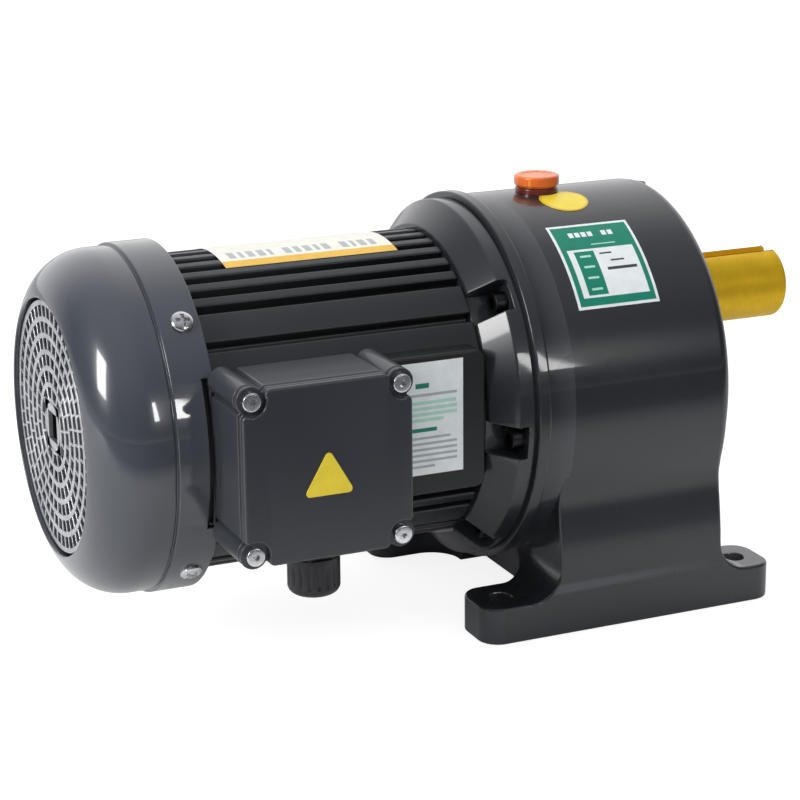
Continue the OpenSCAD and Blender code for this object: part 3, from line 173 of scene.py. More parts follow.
# Heads of the socket screws: radius, height and radius of the socket
FLANGE_HEAD = (4.25, 4.8, 2.3)
COVER_HEAD = (3.25, 2.2, 1.25)

# Free end of the output shaft
SHAFT_R = 14.0
SHAFT_CORE_R = 5.9
CENTRE_HOLE_R = 3.2
KEYWAY_HALF_W = 4.0
KEYWAY_DEPTH = 4.0
KEYWAY_LEN = 46.0

# Heads of the cowl screws: radius, height and width of the cross
COWL_HEAD = (4.0, 2.4, 1.1)

# Labels: their lift and thickness, and the angles they span from the top of the motor axis
LABEL_LIFT = 0.05
FILM_T = 0.1
GEARBOX_LABEL_ANGLES = (27, 58.3)
OIL_LABEL_ANGLE = 12
TOP_LABEL_HALF_ANGLE = 17
PLUG_CLEAR_R = 8.8

# Well outside the object, for the ends of cutting solids
FAR = 200


# ---- materials


def shade(colour, factor):
    return tuple(min(1.0, c * factor) for c in colour)


class Nodes:
    """The node tree of a material or a world, with short calls for the few nodes used here."""

    def __init__(self, owner):
        owner.use_nodes = True
        self.owner = owner
        self.tree = owner.node_tree
        self.tree.nodes.clear()
        self.coords = self.add("TexCoord").outputs
        self.place = self.coords["Object"]

    def feed(self, socket, value):
        """Links a socket to an output, or sets it to a number, a vector or a colour."""
        if isinstance(value, bpy.types.NodeSocket):
            self.tree.links.new(value, socket)
        elif isinstance(value, tuple):
            socket.default_value = (*value, 1.0)[:len(socket.default_value)]
        else:
            socket.default_value = value

    def add(self, kind, settings=(), **values):
        """A new node with its settings, and with its inputs set or linked by name."""
        node = self.tree.nodes.new("ShaderNode" + kind)
        for name, value in dict(settings).items():
            setattr(node, name, value)
        for name, value in values.items():
            self.feed(node.inputs[name.replace("_", " ")], value)
        return node

    def stretched(self, sx, sy, sz):
        return self.add("Mapping", Vector=self.place, Scale=(sx, sy, sz)).outputs[0]

    def noise(self, size_mm, detail=3.0, rough=0.55, place=None):
        """Noise whose blotches are about size_mm across."""
        scale = 1.0 / (size_mm * MM)
        node = self.add("TexNoise", Vector=place or self.place, Scale=scale, Detail=detail, Roughness=rough)
        return node.outputs["Fac"]

    def ramp(self, value, *stops):
        """Maps a value through (position, colour) stops."""
        node = self.add("ValToRGB", Fac=value)
        elements = node.color_ramp.elements
        while len(elements) < len(stops):
            elements.new(0.5)
        for element, (position, colour) in zip(elements, stops):
            element.position = position
            element.color = (*colour, 1.0)
        return node.outputs["Color"]

    def span(self, value, low, high, start=0.3, end=0.7):
        """Maps a value from start and end to low and high."""
        node = self.add("MapRange", Value=value, From_Min=start, From_Max=end, To_Min=low, To_Max=high)
        return node.outputs["Result"]

    def part(self, vector, axis):
        return self.add("SeparateXYZ", Vector=vector).outputs[axis]

    def mix(self, share, a, b):
        return self.add("Mix", {"data_type": "RGBA"}, Factor=share, A=a, B=b).outputs["Result"]

    def bump(self, height, strength, distance_mm):
        node = self.add("Bump", Height=height, Strength=strength, Distance=distance_mm * MM)
        return node.outputs["Normal"]

    def mottle(self, colour, size_mm, detail, dark, light):
        """A colour in soft blotches, between a darker and a lighter shade of it."""
        stops = ((0.3, shade(colour, dark)), (0.7, shade(colour, light)))
        return self.ramp(self.noise(size_mm, detail), *stops)

    def uneven(self, value, size_mm, detail, spread):
        """A number that drifts up and down by its spread in soft blotches."""
        return self.span(self.noise(size_mm, detail), value * (1 - spread), value * (1 + spread))

    def edges(self, low=0.52, high=0.62):
        """Near 1 along convex edges and near 0 elsewhere: the mask of a painted highlight on edges."""
        return self.span(self.add("NewGeometry").outputs["Pointiness"], 0.0, 1.0, low, high)

    def finish(self, **values):
        """Closes a material with one shader, and returns the material."""
        shader = self.add("BsdfPrincipled", **values)
        self.add("OutputMaterial", Surface=shader.outputs[0])
        return self.owner

    def split_by_ray(self, seen, mirrored, output):
        """Shows one shader to the camera and the other to every other ray."""
        mix = self.add("MixShader", Fac=self.add("LightPath").outputs["Is Camera Ray"])
        self.feed(mix.inputs[1], mirrored)
        self.feed(mix.inputs[2], seen)
        self.add(output, Surface=mix.outputs[0])


def blank(name):
    """The nodes of a new material."""
    return Nodes(bpy.data.materials.new(name))


def paint(name, colour, edge, roughness, coat):
    """Stove enamel: a little tone variation, faint orange peel and paler edges, which are a painted
    highlight.
    """
    n = blank(name)
    return n.finish(
        # The edge colour is a painted highlight laid along convex edges.
        Base_Color=n.mix(n.edges(), n.mottle(colour, 60.0, 1.0, 0.95, 1.05), edge),
        Roughness=n.uneven(roughness, 30.0, 1.0, 0.05),
        Normal=n.bump(n.noise(1.4, 2.0, 0.45), 0.02, 0.12),
        Specular_IOR_Level=0.5,
        Coat_Weight=coat,
        Coat_Roughness=0.045,
    )


def textured_paint(name, colour, edge, roughness):
    """Black powder coat over cast fins, with a fine pebbled grain and a painted highlight on convex edges.
    """
    n = blank(name)
    return n.finish(
        # The edge colour is a painted highlight laid along convex edges.
        Base_Color=n.mix(n.edges(0.53, 0.66), n.mottle(colour, 24.0, 3.0, 0.8, 1.2), edge),
        Roughness=n.uneven(roughness, 3.0, 3.0, 0.15),
        Normal=n.bump(n.noise(0.55, 3.0), 0.16, 0.12),
        Coat_Weight=0.12,
        Coat_Roughness=0.25,
    )


def metal(name, colour, roughness, lines=(1.0, 1.0, 1.0), line_mm=0.4, line_bump=0.06, film=0.0):
    """Machined or rolled metal with stretched tool lines. A film above 0 dulls it like a cover."""
    n = blank(name)
    stains = n.mottle(colour, 11.0, 4.0, 0.78 + 0.5 * film, 1.1)
    streaks = n.noise(line_mm, 2.0, 0.5, n.stretched(*lines))
    tone = n.mix(n.span(streaks, 0.0, 0.3 * (1 - film)), stains, shade(colour, 0.6))
    return n.finish(
        Base_Color=tone,
        Metallic=1.0 - film,
        Roughness=n.span(streaks, roughness * 0.75, roughness * 1.3),
        Normal=n.bump(streaks, line_bump, 0.08),
    )


def plastic(name, colour, roughness, grain_mm, grain, see_through=0.0, coat=0.0):
    """Moulded plastic or rubber with a fine skin, and a painted highlight that makes convex edges paler."""
    n = blank(name)
    tone = n.mottle(colour, 14.0, 3.0, 0.86, 1.12)
    return n.finish(
        # Convex edges turn paler here: a painted highlight.
        Base_Color=n.mix(n.edges(0.53, 0.68), tone, shade(colour, 1.7)),
        Roughness=n.uneven(roughness, 2.4, 3.0, 0.15),
        Normal=n.bump(n.noise(grain_mm, 2.0), grain, 0.1),
        Subsurface_Weight=see_through,
        Subsurface_Scale=0.003,
        Coat_Weight=coat,
        Coat_Roughness=0.08,
    )


def printed(name, colour, roughness=0.35):
    """A printed film: almost even ink with faint mottling."""
    n = blank(name)
    ink = n.mottle(colour, 5.0, 4.0, 0.93, 1.05)
    fibre = n.mix(n.span(n.noise(0.35, 2.0), 0.0, 0.12), ink, shade(colour, 0.75))
    return n.finish(
        Base_Color=fibre,
        Roughness=n.uneven(roughness, 3.0, 3.0, 0.15),
        Normal=n.bump(n.noise(1.6, 2.0), 0.04, 0.05),
    )


def laminated(name, colour, pitch_mm):
    """Stacked sheets along X."""
    n = blank(name)
    scale = 0.05 / (pitch_mm * MM) * 6.28
    sheets = n.add("TexWave", {"bands_direction": "X"}, Vector=n.place, Scale=scale, Distortion=0.4)
    wave = sheets.outputs["Fac"]
    tone = n.ramp(wave, (0.2, shade(colour, 0.5)), (0.8, shade(colour, 1.15)))
    return n.finish(
        Base_Color=tone,
        Metallic=0.8,
        Roughness=n.span(n.noise(2.0), 0.35, 0.6),
        Normal=n.bump(wave, 0.3, 0.1),
    )


# In each paint and powder coat below, the second colour is a painted highlight for convex edges.
SLATE = paint("slate_enamel", (0.018, 0.0195, 0.0235), (0.05, 0.053, 0.06), 0.27, 0.5)
COWL_SLATE = paint("cowl_enamel", (0.044, 0.049, 0.060), (0.09, 0.096, 0.11), 0.24, 0.9)
# The terminal box has the gearcase's slate paint; this lighter, bluer copy of it is painted light.
BOX_SLATE_PAINTED_LIGHTER = paint("box_slate_painted_lighter", (0.025, 0.028, 0.0345), (0.06, 0.064, 0.072), 0.32, 0.35)
SOOT = textured_paint("black_powder_coat", (0.007, 0.0075, 0.009), (0.03, 0.032, 0.036), 0.38)
GRILLE = metal("grille_zinc", (0.68, 0.69, 0.71), 0.42, line_mm=0.8)
BRIGHT_SCREW = metal("zinc_screw", (0.86, 0.87, 0.88), 0.24, line_mm=1.2, line_bump=0.02)
DARK_SCREW = metal("black_oxide_screw", (0.045, 0.046, 0.05), 0.38, line_mm=0.5)
BEARING = metal("ground_bearing_steel", (0.62, 0.63, 0.65), 0.16, (0.1, 1.0, 1.0))
GEAR = metal("hobbed_gear_steel", (0.38, 0.385, 0.40), 0.28, (1.0, 0.3, 0.3))
SHAFT_STEEL = metal("turned_shaft_steel", (0.55, 0.56, 0.58), 0.24, (3.0, 0.15, 0.15))
BARE = metal("bare_drilled_metal", (0.72, 0.72, 0.73), 0.26, (0.2, 0.2, 3.0))
AMBER = metal("amber_film_on_steel", (0.86, 0.54, 0.016), 0.46, (2.2, 0.1, 0.1), 0.5, 0.012, 0.35)
LAMINATION = laminated("stacked_laminations", (0.28, 0.28, 0.30), 0.5)
WINDING = metal("enamelled_copper", (0.55, 0.20, 0.07), 0.35, (0.2, 1.0, 1.0), 0.9, 0.3)
CAGE = metal("cast_rotor_cage", (0.62, 0.63, 0.64), 0.45, (1.0, 1.0, 1.0), 1.5, 0.15)
BRASS = metal("brass", (0.72, 0.52, 0.20), 0.26, (1.0, 1.0, 0.3))
RUBBER = plastic("black_rubber", (0.012, 0.012, 0.012), 0.62, 0.4, 0.12)
NYLON = plastic("gland_nylon", (0.010, 0.010, 0.011), 0.36, 0.5, 0.05)
FIBRE = plastic("gasket_fibre", (0.035, 0.034, 0.033), 0.8, 0.3, 0.3)
FAN = plastic("fan_nylon", (0.018, 0.018, 0.020), 0.48, 0.6, 0.08)
RESIN = plastic("moulded_board", (0.055, 0.030, 0.018), 0.5, 0.5, 0.1)
SLEEVE = plastic("lead_sleeve", (0.32, 0.045, 0.03), 0.5, 0.35, 0.3)
ORANGE = plastic("orange_plug", (0.78, 0.17, 0.025), 0.30, 0.6, 0.03, 0.25, 0.4)
RED = plastic("dark_red_washer", (0.10, 0.012, 0.008), 0.24, 0.6, 0.03, 0.15, 0.6)
GREEN = printed("green_ink", (0.002, 0.215, 0.135), 0.5)
WHITE = printed("white_film", (0.82, 0.86, 0.86))
CREAM = printed("cream_film", (0.86, 0.84, 0.74))
MINT = printed("pale_mint_ink", (0.45, 0.74, 0.62))
GREY_INK = printed("grey_ink", (0.42, 0.46, 0.46))
DARK_INK = printed("dark_ink", (0.045, 0.05, 0.06))
YELLOW = printed("yellow_film", (0.86, 0.66, 0.045))
YELLOW_RIM = printed("yellow_rim_ink", (0.70, 0.48, 0.02))
GOLD_INK = printed("gold_ink", (0.80, 0.47, 0.04))

# The record's material slots and the materials that show them on carried CAD nodes
SLOT_LOOKS = {
    "slate_paint": SLATE, "cowl_paint": COWL_SLATE, "black_paint": SOOT, "grille_paint": GRILLE,
    "screw_steel": BRIGHT_SCREW, "black_screw": DARK_SCREW, "bearing_steel": BEARING,
    "gear_steel": GEAR, "shaft_steel": SHAFT_STEEL, "yellow_film": AMBER, "lamination": LAMINATION,
    "winding": WINDING, "rotor_cage": CAGE, "brass": BRASS, "rubber": RUBBER, "gland_nylon": NYLON,
    "gasket_fibre": FIBRE, "fan_plastic": FAN, "board_resin": RESIN, "lead_sleeve": SLEEVE,
    "orange_plastic": ORANGE, "red_rubber": RED, "green_label": GREEN, "white_label": WHITE,
    "cream_label": CREAM, "yellow_label": YELLOW,
}


# ---- mesh functions


def new_piece(name, mesh, materials):
    mesh.name = name
    piece = bpy.data.objects.new(name, mesh)
    scene.collection.objects.link(piece)
    for material in materials if isinstance(materials, list) else [materials]:
        mesh.materials.append(material)
    return piece


def mesh_of(bm):
    bmesh.ops.recalc_face_normals(bm, faces=bm.faces)
    mesh = bpy.data.meshes.new("mesh")
    bm.to_mesh(mesh)
    bm.free()
    mesh.transform(Matrix.Scale(MM, 4))
    return mesh


def round_edges(piece, width, segments, angle):
    """Rounds the edges that turn by more than an angle in degrees."""
    rounding = piece.modifiers.new("rounding", "BEVEL")
    rounding.width = width * MM
    rounding.segments = segments
    rounding.limit_method = "ANGLE"
    rounding.angle_limit = radians(angle)
    return rounding


def dress(piece, bevel=0.0, segments=3, angle=30, weighted=False):
    """Smooth shading, rounded edges and flat faces that stay flat."""
    for face in piece.data.polygons:
        face.use_smooth = True
    if bevel:
        rounding = round_edges(piece, bevel, segments, angle)
        rounding.miter_outer = "MITER_ARC"
        rounding.use_clamp_overlap = False
        if weighted:
            rounding.limit_method = "WEIGHT"
    else:
        piece.data.set_sharp_from_angle(angle=radians(50))
    shading = piece.modifiers.new("shading", "WEIGHTED_NORMAL")
    shading.keep_sharp = True
    shading.weight = 80
    return piece


def settle(piece, body, slot, *nodes):
    """Joins a finished piece to its body and hides the CAD nodes it stands for; the slot, its finish, is
    not used.
    """
    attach(piece, body)
    if nodes:
        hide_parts(*nodes)


def housing_piece(name, mesh, look, slot, node, *rounding):
    """A finished piece of the housing that stands for a CAD node. Rounding is as for dress."""
    settle(dress(new_piece(name, mesh, look), *rounding), "housing", slot, node)


def cut(piece, *meshes):
    """Cuts meshes out of a piece."""
    cutters = [new_piece("cutter", mesh, SLATE) for mesh in meshes]
    for cutter in cutters:
        step = piece.modifiers.new("step", "BOOLEAN")
        step.operation = "DIFFERENCE"
        step.object = cutter
        step.solver = "EXACT"
    graph = bpy.context.evaluated_depsgraph_get()
    mesh = bpy.data.meshes.new_from_object(piece.evaluated_get(graph))
    piece.modifiers.clear()
    piece.data = mesh
    for cutter in cutters:
        bpy.data.objects.remove(cutter)


def arc(cx, cy, r, start, end, steps):
    """Points on a circle from one angle to another, in degrees."""
    angles = [radians(start + (end - start) * i / steps) for i in range(steps + 1)]
    return [(cx + r * cos(a), cy + r * sin(a)) for a in angles]


def rounded(corners, closed=True):
    """An outline from (x, y, radius) corners, with each corner rounded to its radius."""
    points = []
    count = len(corners)
    for i, (x, y, r) in enumerate(corners):
        if r <= 0 or (not closed and i in (0, count - 1)):
            points.append((x, y))
            continue
        here = Vector((x, y))
        before = Vector(corners[i - 1][:2]) - here
        after = Vector(corners[(i + 1) % count][:2]) - here
        before.normalize()
        after.normalize()
        half = before.angle(after) / 2
        centre = here + (before + after).normalized() * (r / sin(half))
        start = here + before * (r / tan(half)) - centre
        end = here + after * (r / tan(half)) - centre
        turn = start.angle_signed(end)
        steps = max(2, ceil(abs(degrees(turn)) / 9))
        first = atan2(start.y, start.x)
        points += arc(centre.x, centre.y, r, degrees(first), degrees(first - turn), steps)
    return points


def bezier(p0, p1, p2, p3, steps):
    out = []
    for i in range(steps + 1):
        t = i / steps
        weights = ((1 - t) ** 3, 3 * t * (1 - t) ** 2, 3 * t * t * (1 - t), t ** 3)
        out.append(tuple(sum(w * p[k] for w, p in zip(weights, (p0, p1, p2, p3))) for k in (0, 1)))
    return out


def turns(count):
    """Evenly spaced angles round a circle, in radians."""
    return [2 * pi * k / count for k in range(count)]


def add_ring(bm, points):
    return [bm.verts.new(point) for point in points]


def bridge(bm, rings, closed=True):
    """Faces between neighbouring rings, and from the last ring to the first where closed."""
    following = rings[1:] + rings[:1] if closed else rings[1:]
    faces = []
    for a, b in zip(rings, following):
        for k in range(len(a)):
            j = (k + 1) % len(a)
            corners = list(dict.fromkeys((a[k], a[j], b[j], b[k])))
            if len(corners) > 2:
                faces.append(bm.faces.new(corners))
    return faces


def capped(bm, rings):
    """A solid from rings, with its first and last ring filled."""
    bridge(bm, rings, closed=False)
    bm.faces.new(rings[0])
    bm.faces.new(rings[-1])
    return mesh_of(bm)


def lathe_mesh(profile, z=AXIS_Z, segments=192):
    """Turns a closed (x, r) profile about an axis along X. Points on the axis close the solid."""
    bm = bmesh.new()
    rings = []
    for x, r in profile:
        if r < 1e-6:
            rings.append([bm.verts.new((x, 0, z))] * segments)
        else:
            rings.append(add_ring(bm, [(x, -r * sin(a), z + r * cos(a)) for a in turns(segments)]))
    bridge(bm, rings)
    return mesh_of(bm)


def prism_mesh(outline, place, low, high):
    """Extrudes an outline between two heights. place(u, v, w) says where a point goes."""
    bm = bmesh.new()
    ends = [add_ring(bm, [place(u, v, w) for u, v in outline]) for w in (low, high)]
    return capped(bm, ends)


def along_x(u, v, w):
    """An outline in (y, z), extruded along X."""
    return (w, u, v)


def along_y(u, v, w):
    """An outline in (x, z), extruded along Y."""
    return (u, w, v)


def along_z(u, v, w):
    """An outline in (x, y), extruded along Z."""
    return (u, v, w)


def block(low, high):
    (x0, y0, z0), (x1, y1, z1) = low, high
    return prism_mesh([(x0, y0), (x1, y0), (x1, y1), (x0, y1)], along_z, z0, z1)


def turned(mesh, angle):
    """Turns a mesh about the motor axis, from the top towards the terminal cover."""
    centre = Vector((0, 0, AXIS_Z * MM))
    spin = Matrix.Rotation(radians(angle), 4, "X")
    mesh.transform(Matrix.Translation(centre) @ spin @ Matrix.Translation(-centre))
    return mesh


def joined(meshes):
    """One mesh from several."""
    bm = bmesh.new()
    for mesh in meshes:
        bm.from_mesh(mesh)
    mesh = bpy.data.meshes.new("mesh")
    bm.to_mesh(mesh)
    bm.free()
    return mesh


# ---- gearcase


def case_outline():
    """The barrel with its pedestal, seen along X: round above, drawn in at the waist."""
    waist = degrees(asin(WAIST_DROP / CASE_R))
    top = arc(0, AXIS_Z, CASE_R, WAIST_EASE - waist, 180 + waist - WAIST_EASE, 150)
    joint = (sqrt(CASE_R ** 2 - WAIST_DROP ** 2), AXIS_Z - WAIST_DROP)
    foot = (FOOT_HALF_W, PEDESTAL_FULL_Z)
    lean = (Vector(joint) - Vector(foot)).normalized()
    start = Vector(foot) + lean * PEDESTAL_STRAIGHT
    end = Vector(top[0])
    slope = radians(waist - WAIST_EASE)
    tangent = Vector((sin(slope), cos(slope)))
    blend = bezier(start, start + lean * WAIST_PULL, end - tangent * WAIST_PULL, end, 12)
    low = rounded([(FOOT_HALF_W, 0, 0), (*foot, PEDESTAL_TOE_R), (*start, 0)], closed=False)
    right = low + blend[1:-1]
    return right + top + [(-u, v) for u, v in reversed(right)]


def end_cutter(side):
    """What is cleared above the lugs at one end, with the hollow rise to the pedestal left standing."""
    face = CASE_FRONT if side > 0 else -PEDESTAL_BACK
    outline = [(face, FAR)]
    outline += arc(face + LUG_FILLET, FOOT_T + LUG_FILLET, LUG_FILLET, 180, 270, 14)
    outline += [(FAR, FOOT_T), (FAR, FAR)]
    return prism_mesh([(side * u, v) for u, v in outline], along_y, -FAR, FAR)


def gap_cutter(side):
    """What is cleared between the two lugs of one end, seen from above."""
    face = CASE_FRONT if side > 0 else -PEDESTAL_BACK
    inner = FOOT_HALF_W - LUG_W
    outline = arc(face + LUG_FILLET, inner - LUG_FILLET, LUG_FILLET, 90, 180, 14)
    outline += arc(face + LUG_FILLET, LUG_FILLET - inner, LUG_FILLET, 180, 270, 14)
    outline += [(FAR, -inner), (FAR, inner)]
    return prism_mesh([(side * u, v) for u, v in outline], along_z, -FAR, FAR)


def round_lug_tips(piece):
    """Rounds the upright edges at the four lugs' tips, seen from above."""
    bm = bmesh.new()
    bm.from_mesh(piece.data)
    tips = [
        e for e in bm.edges
        if all(abs(abs(v.co.x) - FOOT_HALF_LEN * MM) < 1e-6 for v in e.verts)
        and abs(e.verts[0].co.z - e.verts[1].co.z) > 5 * MM
        and len(e.link_faces) == 2 and e.calc_face_angle(0) > radians(60)
    ]
    bmesh.ops.bevel(bm, geom=tips, offset=LUG_CORNER * MM, segments=10, profile=0.5, affect="EDGES")
    bm.to_mesh(piece.data)
    bm.free()


def from_hole(p):
    """How far a point is from the axis of the nearest foot hole."""
    return hypot(abs(p.x) - HOLE_X, abs(p.y) - HOLE_Y)


def case_edge_weight(p):
    """How far the edge through a point is rounded, as a share of CASE_EDGE."""
    from_output = hypot(p.y, p.z - OUTPUT_Z)
    on_front = p.x > CASE_FRONT - 0.5 and abs(p.y) > 1 and p.z > FOOT_T + LUG_FILLET + 1
    if on_front and from_output > BORE_R + 2:
        start, end = EDGE_GROWS
        share = min(1.0, max(0.0, (p.z - start) / (end - start)))
        return (SMALL_EDGE + (CASE_EDGE - SMALL_EDGE) * share) / CASE_EDGE
    if from_hole(p) < HOLE_R + 0.3:
        return HOLE_EDGE / CASE_EDGE
    if from_output < BORE_R + 2 and p.x > CASE_FRONT - 1:
        return BORE_EDGE / CASE_EDGE
    return (UNDERSIDE_EDGE if p.z < 1 else SMALL_EDGE) / CASE_EDGE


def weigh_edges(mesh):
    """Gives each sharp edge of the gearcase its own rounding."""
    bm = bmesh.new()
    bm.from_mesh(mesh)
    layer = bm.edges.layers.float.new("bevel_weight_edge")
    for edge in bm.edges:
        if len(edge.link_faces) != 2 or edge.calc_face_angle(0) < radians(30):
            continue
        edge[layer] = case_edge_weight((edge.verts[0].co + edge.verts[1].co) / 2 / MM)
    bm.to_mesh(mesh)
    bm.free()


def make_gearcase():
    body = new_piece(
        "gearcase_body",
        prism_mesh(case_outline(), along_x, -FOOT_HALF_LEN, FOOT_HALF_LEN),
        [SLATE, BARE],
    )
    cut(body, end_cutter(1), end_cutter(-1), gap_cutter(1), gap_cutter(-1))
    round_lug_tips(body)
    relief = block((-FAR, -RELIEF_HALF_W, -FAR), (FAR, RELIEF_HALF_W, RELIEF_H))
    holes = [
        prism_mesh(arc(sx * HOLE_X, sy * HOLE_Y, HOLE_R, 0, 352.5, 47), along_z, -5, FOOT_T + 5)
        for sx in (-1, 1) for sy in (-1, 1)
    ]
    bore_end = CASE_FRONT + 9
    bore = [(BORE_START, 0), (BORE_START, BORE_R), (bore_end, BORE_R), (bore_end, 0)]
    cut(body, relief, *holes, lathe_mesh(bore, OUTPUT_Z, 96))
    weigh_edges(body.data)
    for face in body.data.polygons:
        c = face.center / MM
        in_hole = from_hole(c) < HOLE_R + 0.1 and abs(face.normal.z) < 0.5
        in_bore = hypot(c.y, c.z - OUTPUT_Z) < BORE_R + 0.2 and abs(face.normal.x) < 0.5
        face.material_index = 1 if in_hole or in_bore else 0
    settle(dress(body, CASE_EDGE, 5, weighted=True), "housing", "slate_paint", "gearcase")

    inner = CASE_R - 11.0
    lip = CASE_BACK + COLLAR_T
    front = PEDESTAL_BACK + 2.5
    profile = rounded([
        (CASE_BACK, inner, 0), (CASE_BACK, COLLAR_R, 0.7), (lip, COLLAR_R, 0.7), (lip, CASE_R + 0.02, 0.8),
        (front, CASE_R + 0.02, 0), (front, inner, 0),
    ])
    housing_piece("gearcase_collar", lathe_mesh(profile), SLATE, "slate_paint", "gearcase")


# ---- flange cover


def make_flange_cover():
    front = COVER_FRONT
    profile = rounded([
        (COVER_BACK, FRAME_BORE_R - 2, 0), (COVER_BACK, COVER_NECK_R, 1.2),
        (front - COVER_RIM, COVER_R, 1.4), (front, COVER_R, 0.6), (front, FRAME_BORE_R - 2, 0),
    ])
    cover = new_piece("flange_cover_shell", lathe_mesh(profile), SLATE)
    low = (COVER_BACK - 2, -NOTCH_W / 2, AXIS_Z + FLANGE_SCREW_R - 5)
    high = (NOTCH_FLOOR, NOTCH_W / 2, AXIS_Z + COVER_R + 5)
    cut(cover, *[turned(block(low, high), angle) for angle in FLANGE_ANGLES])
    settle(dress(cover, 0.45, 3, 55), "housing", "slate_paint", "flange_cover")


def cap_screw_mesh(head_r, head_h, socket_r):
    """A cap screw's head along +Z, with a hexagonal socket and a rounded rim."""
    angles = turns(48)
    side = pi / 3
    bm = bmesh.new()
    profile = [(head_r, 0)] + arc(head_r - 0.5, head_h - 0.5, 0.5, 0, 90, 4) + [(socket_r * 1.12, head_h)]
    rings = [add_ring(bm, [(r * cos(a), r * sin(a), h) for a in angles]) for r, h in profile]
    for h, share in ((head_h, 1.04), (head_h - 0.25, 1.0), (head_h * 0.4, 1.0)):
        reach = [share * socket_r * cos(side / 2) / cos(a % side - side / 2) for a in angles]
        rings.append(add_ring(bm, [(r * cos(a), r * sin(a), h) for r, a in zip(reach, angles)]))
    return capped(bm, rings)


def placed(mesh, origin, direction, roll):
    """Turns a mesh made along +Z to a direction and moves it to origin, in millimetres."""
    turn = Vector(direction).to_track_quat("Z", "Y").to_matrix().to_4x4()
    spin = Matrix.Rotation(roll, 4, "Z")
    mesh.transform(Matrix.Translation(Vector(origin) * MM) @ turn @ spin)
    return mesh


def ring_place(angle, r, x):
    return (x, -r * sin(radians(angle)), AXIS_Z + r * cos(radians(angle)))


def make_flange_screws():
    for number, angle in enumerate(FLANGE_ANGLES, 1):
        at = ring_place(angle, FLANGE_SCREW_R, NOTCH_FLOOR)
        head = placed(cap_screw_mesh(*FLANGE_HEAD), at, (-1, 0, 0), number)
        housing_piece(f"flange_screw_{number}", head, DARK_SCREW, "black_screw", "flange_screws")


# ---- motor frame


def groove_profile():
    """One groove's (offset, depth) points, with soft crests and a round root."""
    half = FIN_GAP / 2
    crest, root = 0.8, 1.2
    left = arc(-half - crest, crest, crest, -90, 0, 3)
    left += arc(-half + root, FIN_DEPTH - root, root, 180, 90, 3)
    return left + [(-t, d) for t, d in reversed(left)]


def is_groove(angle):
    near_bolt = min(abs(angle - q) for q in QUARTERS) <= 6
    return not near_bolt and (angle < 60 or angle > 115)


def frame_ring():
    """The finned outline as (angle, radius) points round the motor axis."""
    points = []
    for k in range(FIN_COUNT):
        angle = k * 360 / FIN_COUNT
        if is_groove(angle):
            points += [(angle + degrees(asin(t / FRAME_R)), FRAME_R - d) for t, d in groove_profile()]
        else:
            points += [(angle + step, FRAME_R) for step in (-2.4, -0.8, 0.8, 2.4)]
    return points


def make_motor_frame():
    back, front = FRAME_LOW.x, COVER_BACK
    edge = 0.8
    stations = [(back, 0.0), (front - edge, 0.0), (front - edge * 0.3, edge * 0.3), (front, edge)]
    outline = frame_ring()
    bm = bmesh.new()
    rows = [add_ring(bm, [ring_place(a, r - inset, x) for a, r in outline]) for x, inset in stations]
    rows += [add_ring(bm, [ring_place(a, FRAME_BORE_R, x) for a, r in outline]) for x in (front, back)]
    bridge(bm, rows)
    housing_piece("motor_frame_fins", mesh_of(bm), SOOT, "black_paint", "motor_frame")

    low, high = PAD_Z - PAD_HALF_H, PAD_Z + PAD_HALF_H
    front -= PAD_GAP
    corners = [(back, low, 0), (front, low, PAD_CORNER), (front, high, PAD_CORNER), (back, high, 0)]
    pad = prism_mesh(rounded(corners), along_y, -PAD_Y, -PAD_Y + PAD_DEPTH)
    housing_piece("motor_frame_pad", pad, SOOT, "black_paint", "motor_frame", 1.0, 4)


# ---- cowl and grille


def make_cowl():
    rim = COWL_REAR - COWL_RIM_LEN
    centre_r = COWL_R - COWL_SHOULDER
    lip = COWL_SHOULDER - sqrt(COWL_SHOULDER ** 2 - (GRILLE_R - centre_r) ** 2)
    start = degrees(asin((GRILLE_R - centre_r) / COWL_SHOULDER))
    centre_x = COWL_FRONT + COWL_SHOULDER
    shoulder = arc(centre_x, centre_r, COWL_SHOULDER, 180 - start - 1.2, 90, 26)
    lip_x = COWL_FRONT + lip
    seat_x = GRILLE_FRONT + 0.6
    groove_r = COWL_R - 0.45
    outer = rounded([
        (rim - 1.6, COWL_R, 0), (rim - 0.9, groove_r, 0.3), (rim - 0.5, groove_r, 0.2),
        (rim - 0.25, COWL_RIM_R, 0.45), (COWL_REAR, COWL_RIM_R, 0.35),
        (COWL_REAR, COWL_RIM_R - COWL_WALL, 0.3), (rim + COWL_WALL, COWL_RIM_R - COWL_WALL, 0.5),
        (rim + COWL_WALL, COWL_R - COWL_WALL, 0.5),
        (centre_x, COWL_R - COWL_WALL, 0),
    ], closed=False)
    inner = arc(centre_x, centre_r, COWL_SHOULDER - COWL_WALL, 100, 158, 12)
    mouth = rounded([
        inner[-1] + (0,), (seat_x, GRILLE_R + 0.6, 0.2), (seat_x, GRILLE_R, 0.2),
        (lip_x - 0.3, GRILLE_R, 0.35), shoulder[0] + (0,),
    ], closed=False)
    profile = shoulder + outer + inner[:-1] + mouth[:-1]
    cowl = new_piece("fan_cowl_shell", lathe_mesh(profile, segments=256), COWL_SLATE)
    low = (COWL_REAR - COWL_NOTCH, -COWL_RIM_R - 2, PAD_Z - PAD_HALF_H - 1)
    high = (COWL_REAR + 5, -20, PAD_Z + PAD_HALF_H + 1)
    cut(cowl, block(low, high))
    settle(dress(cowl), "housing", "cowl_paint", "fan_cowl")


def grille_ring(r):
    """A ring bar of the grille with softly rounded edges."""
    x0, x1, edge = GRILLE_BACK, GRILLE_FRONT, 0.28
    corners = [(x0, r, edge), (x0, r + GRILLE_BAR, edge), (x1, r + GRILLE_BAR, edge), (x1, r, edge)]
    return lathe_mesh(rounded(corners), segments=160)


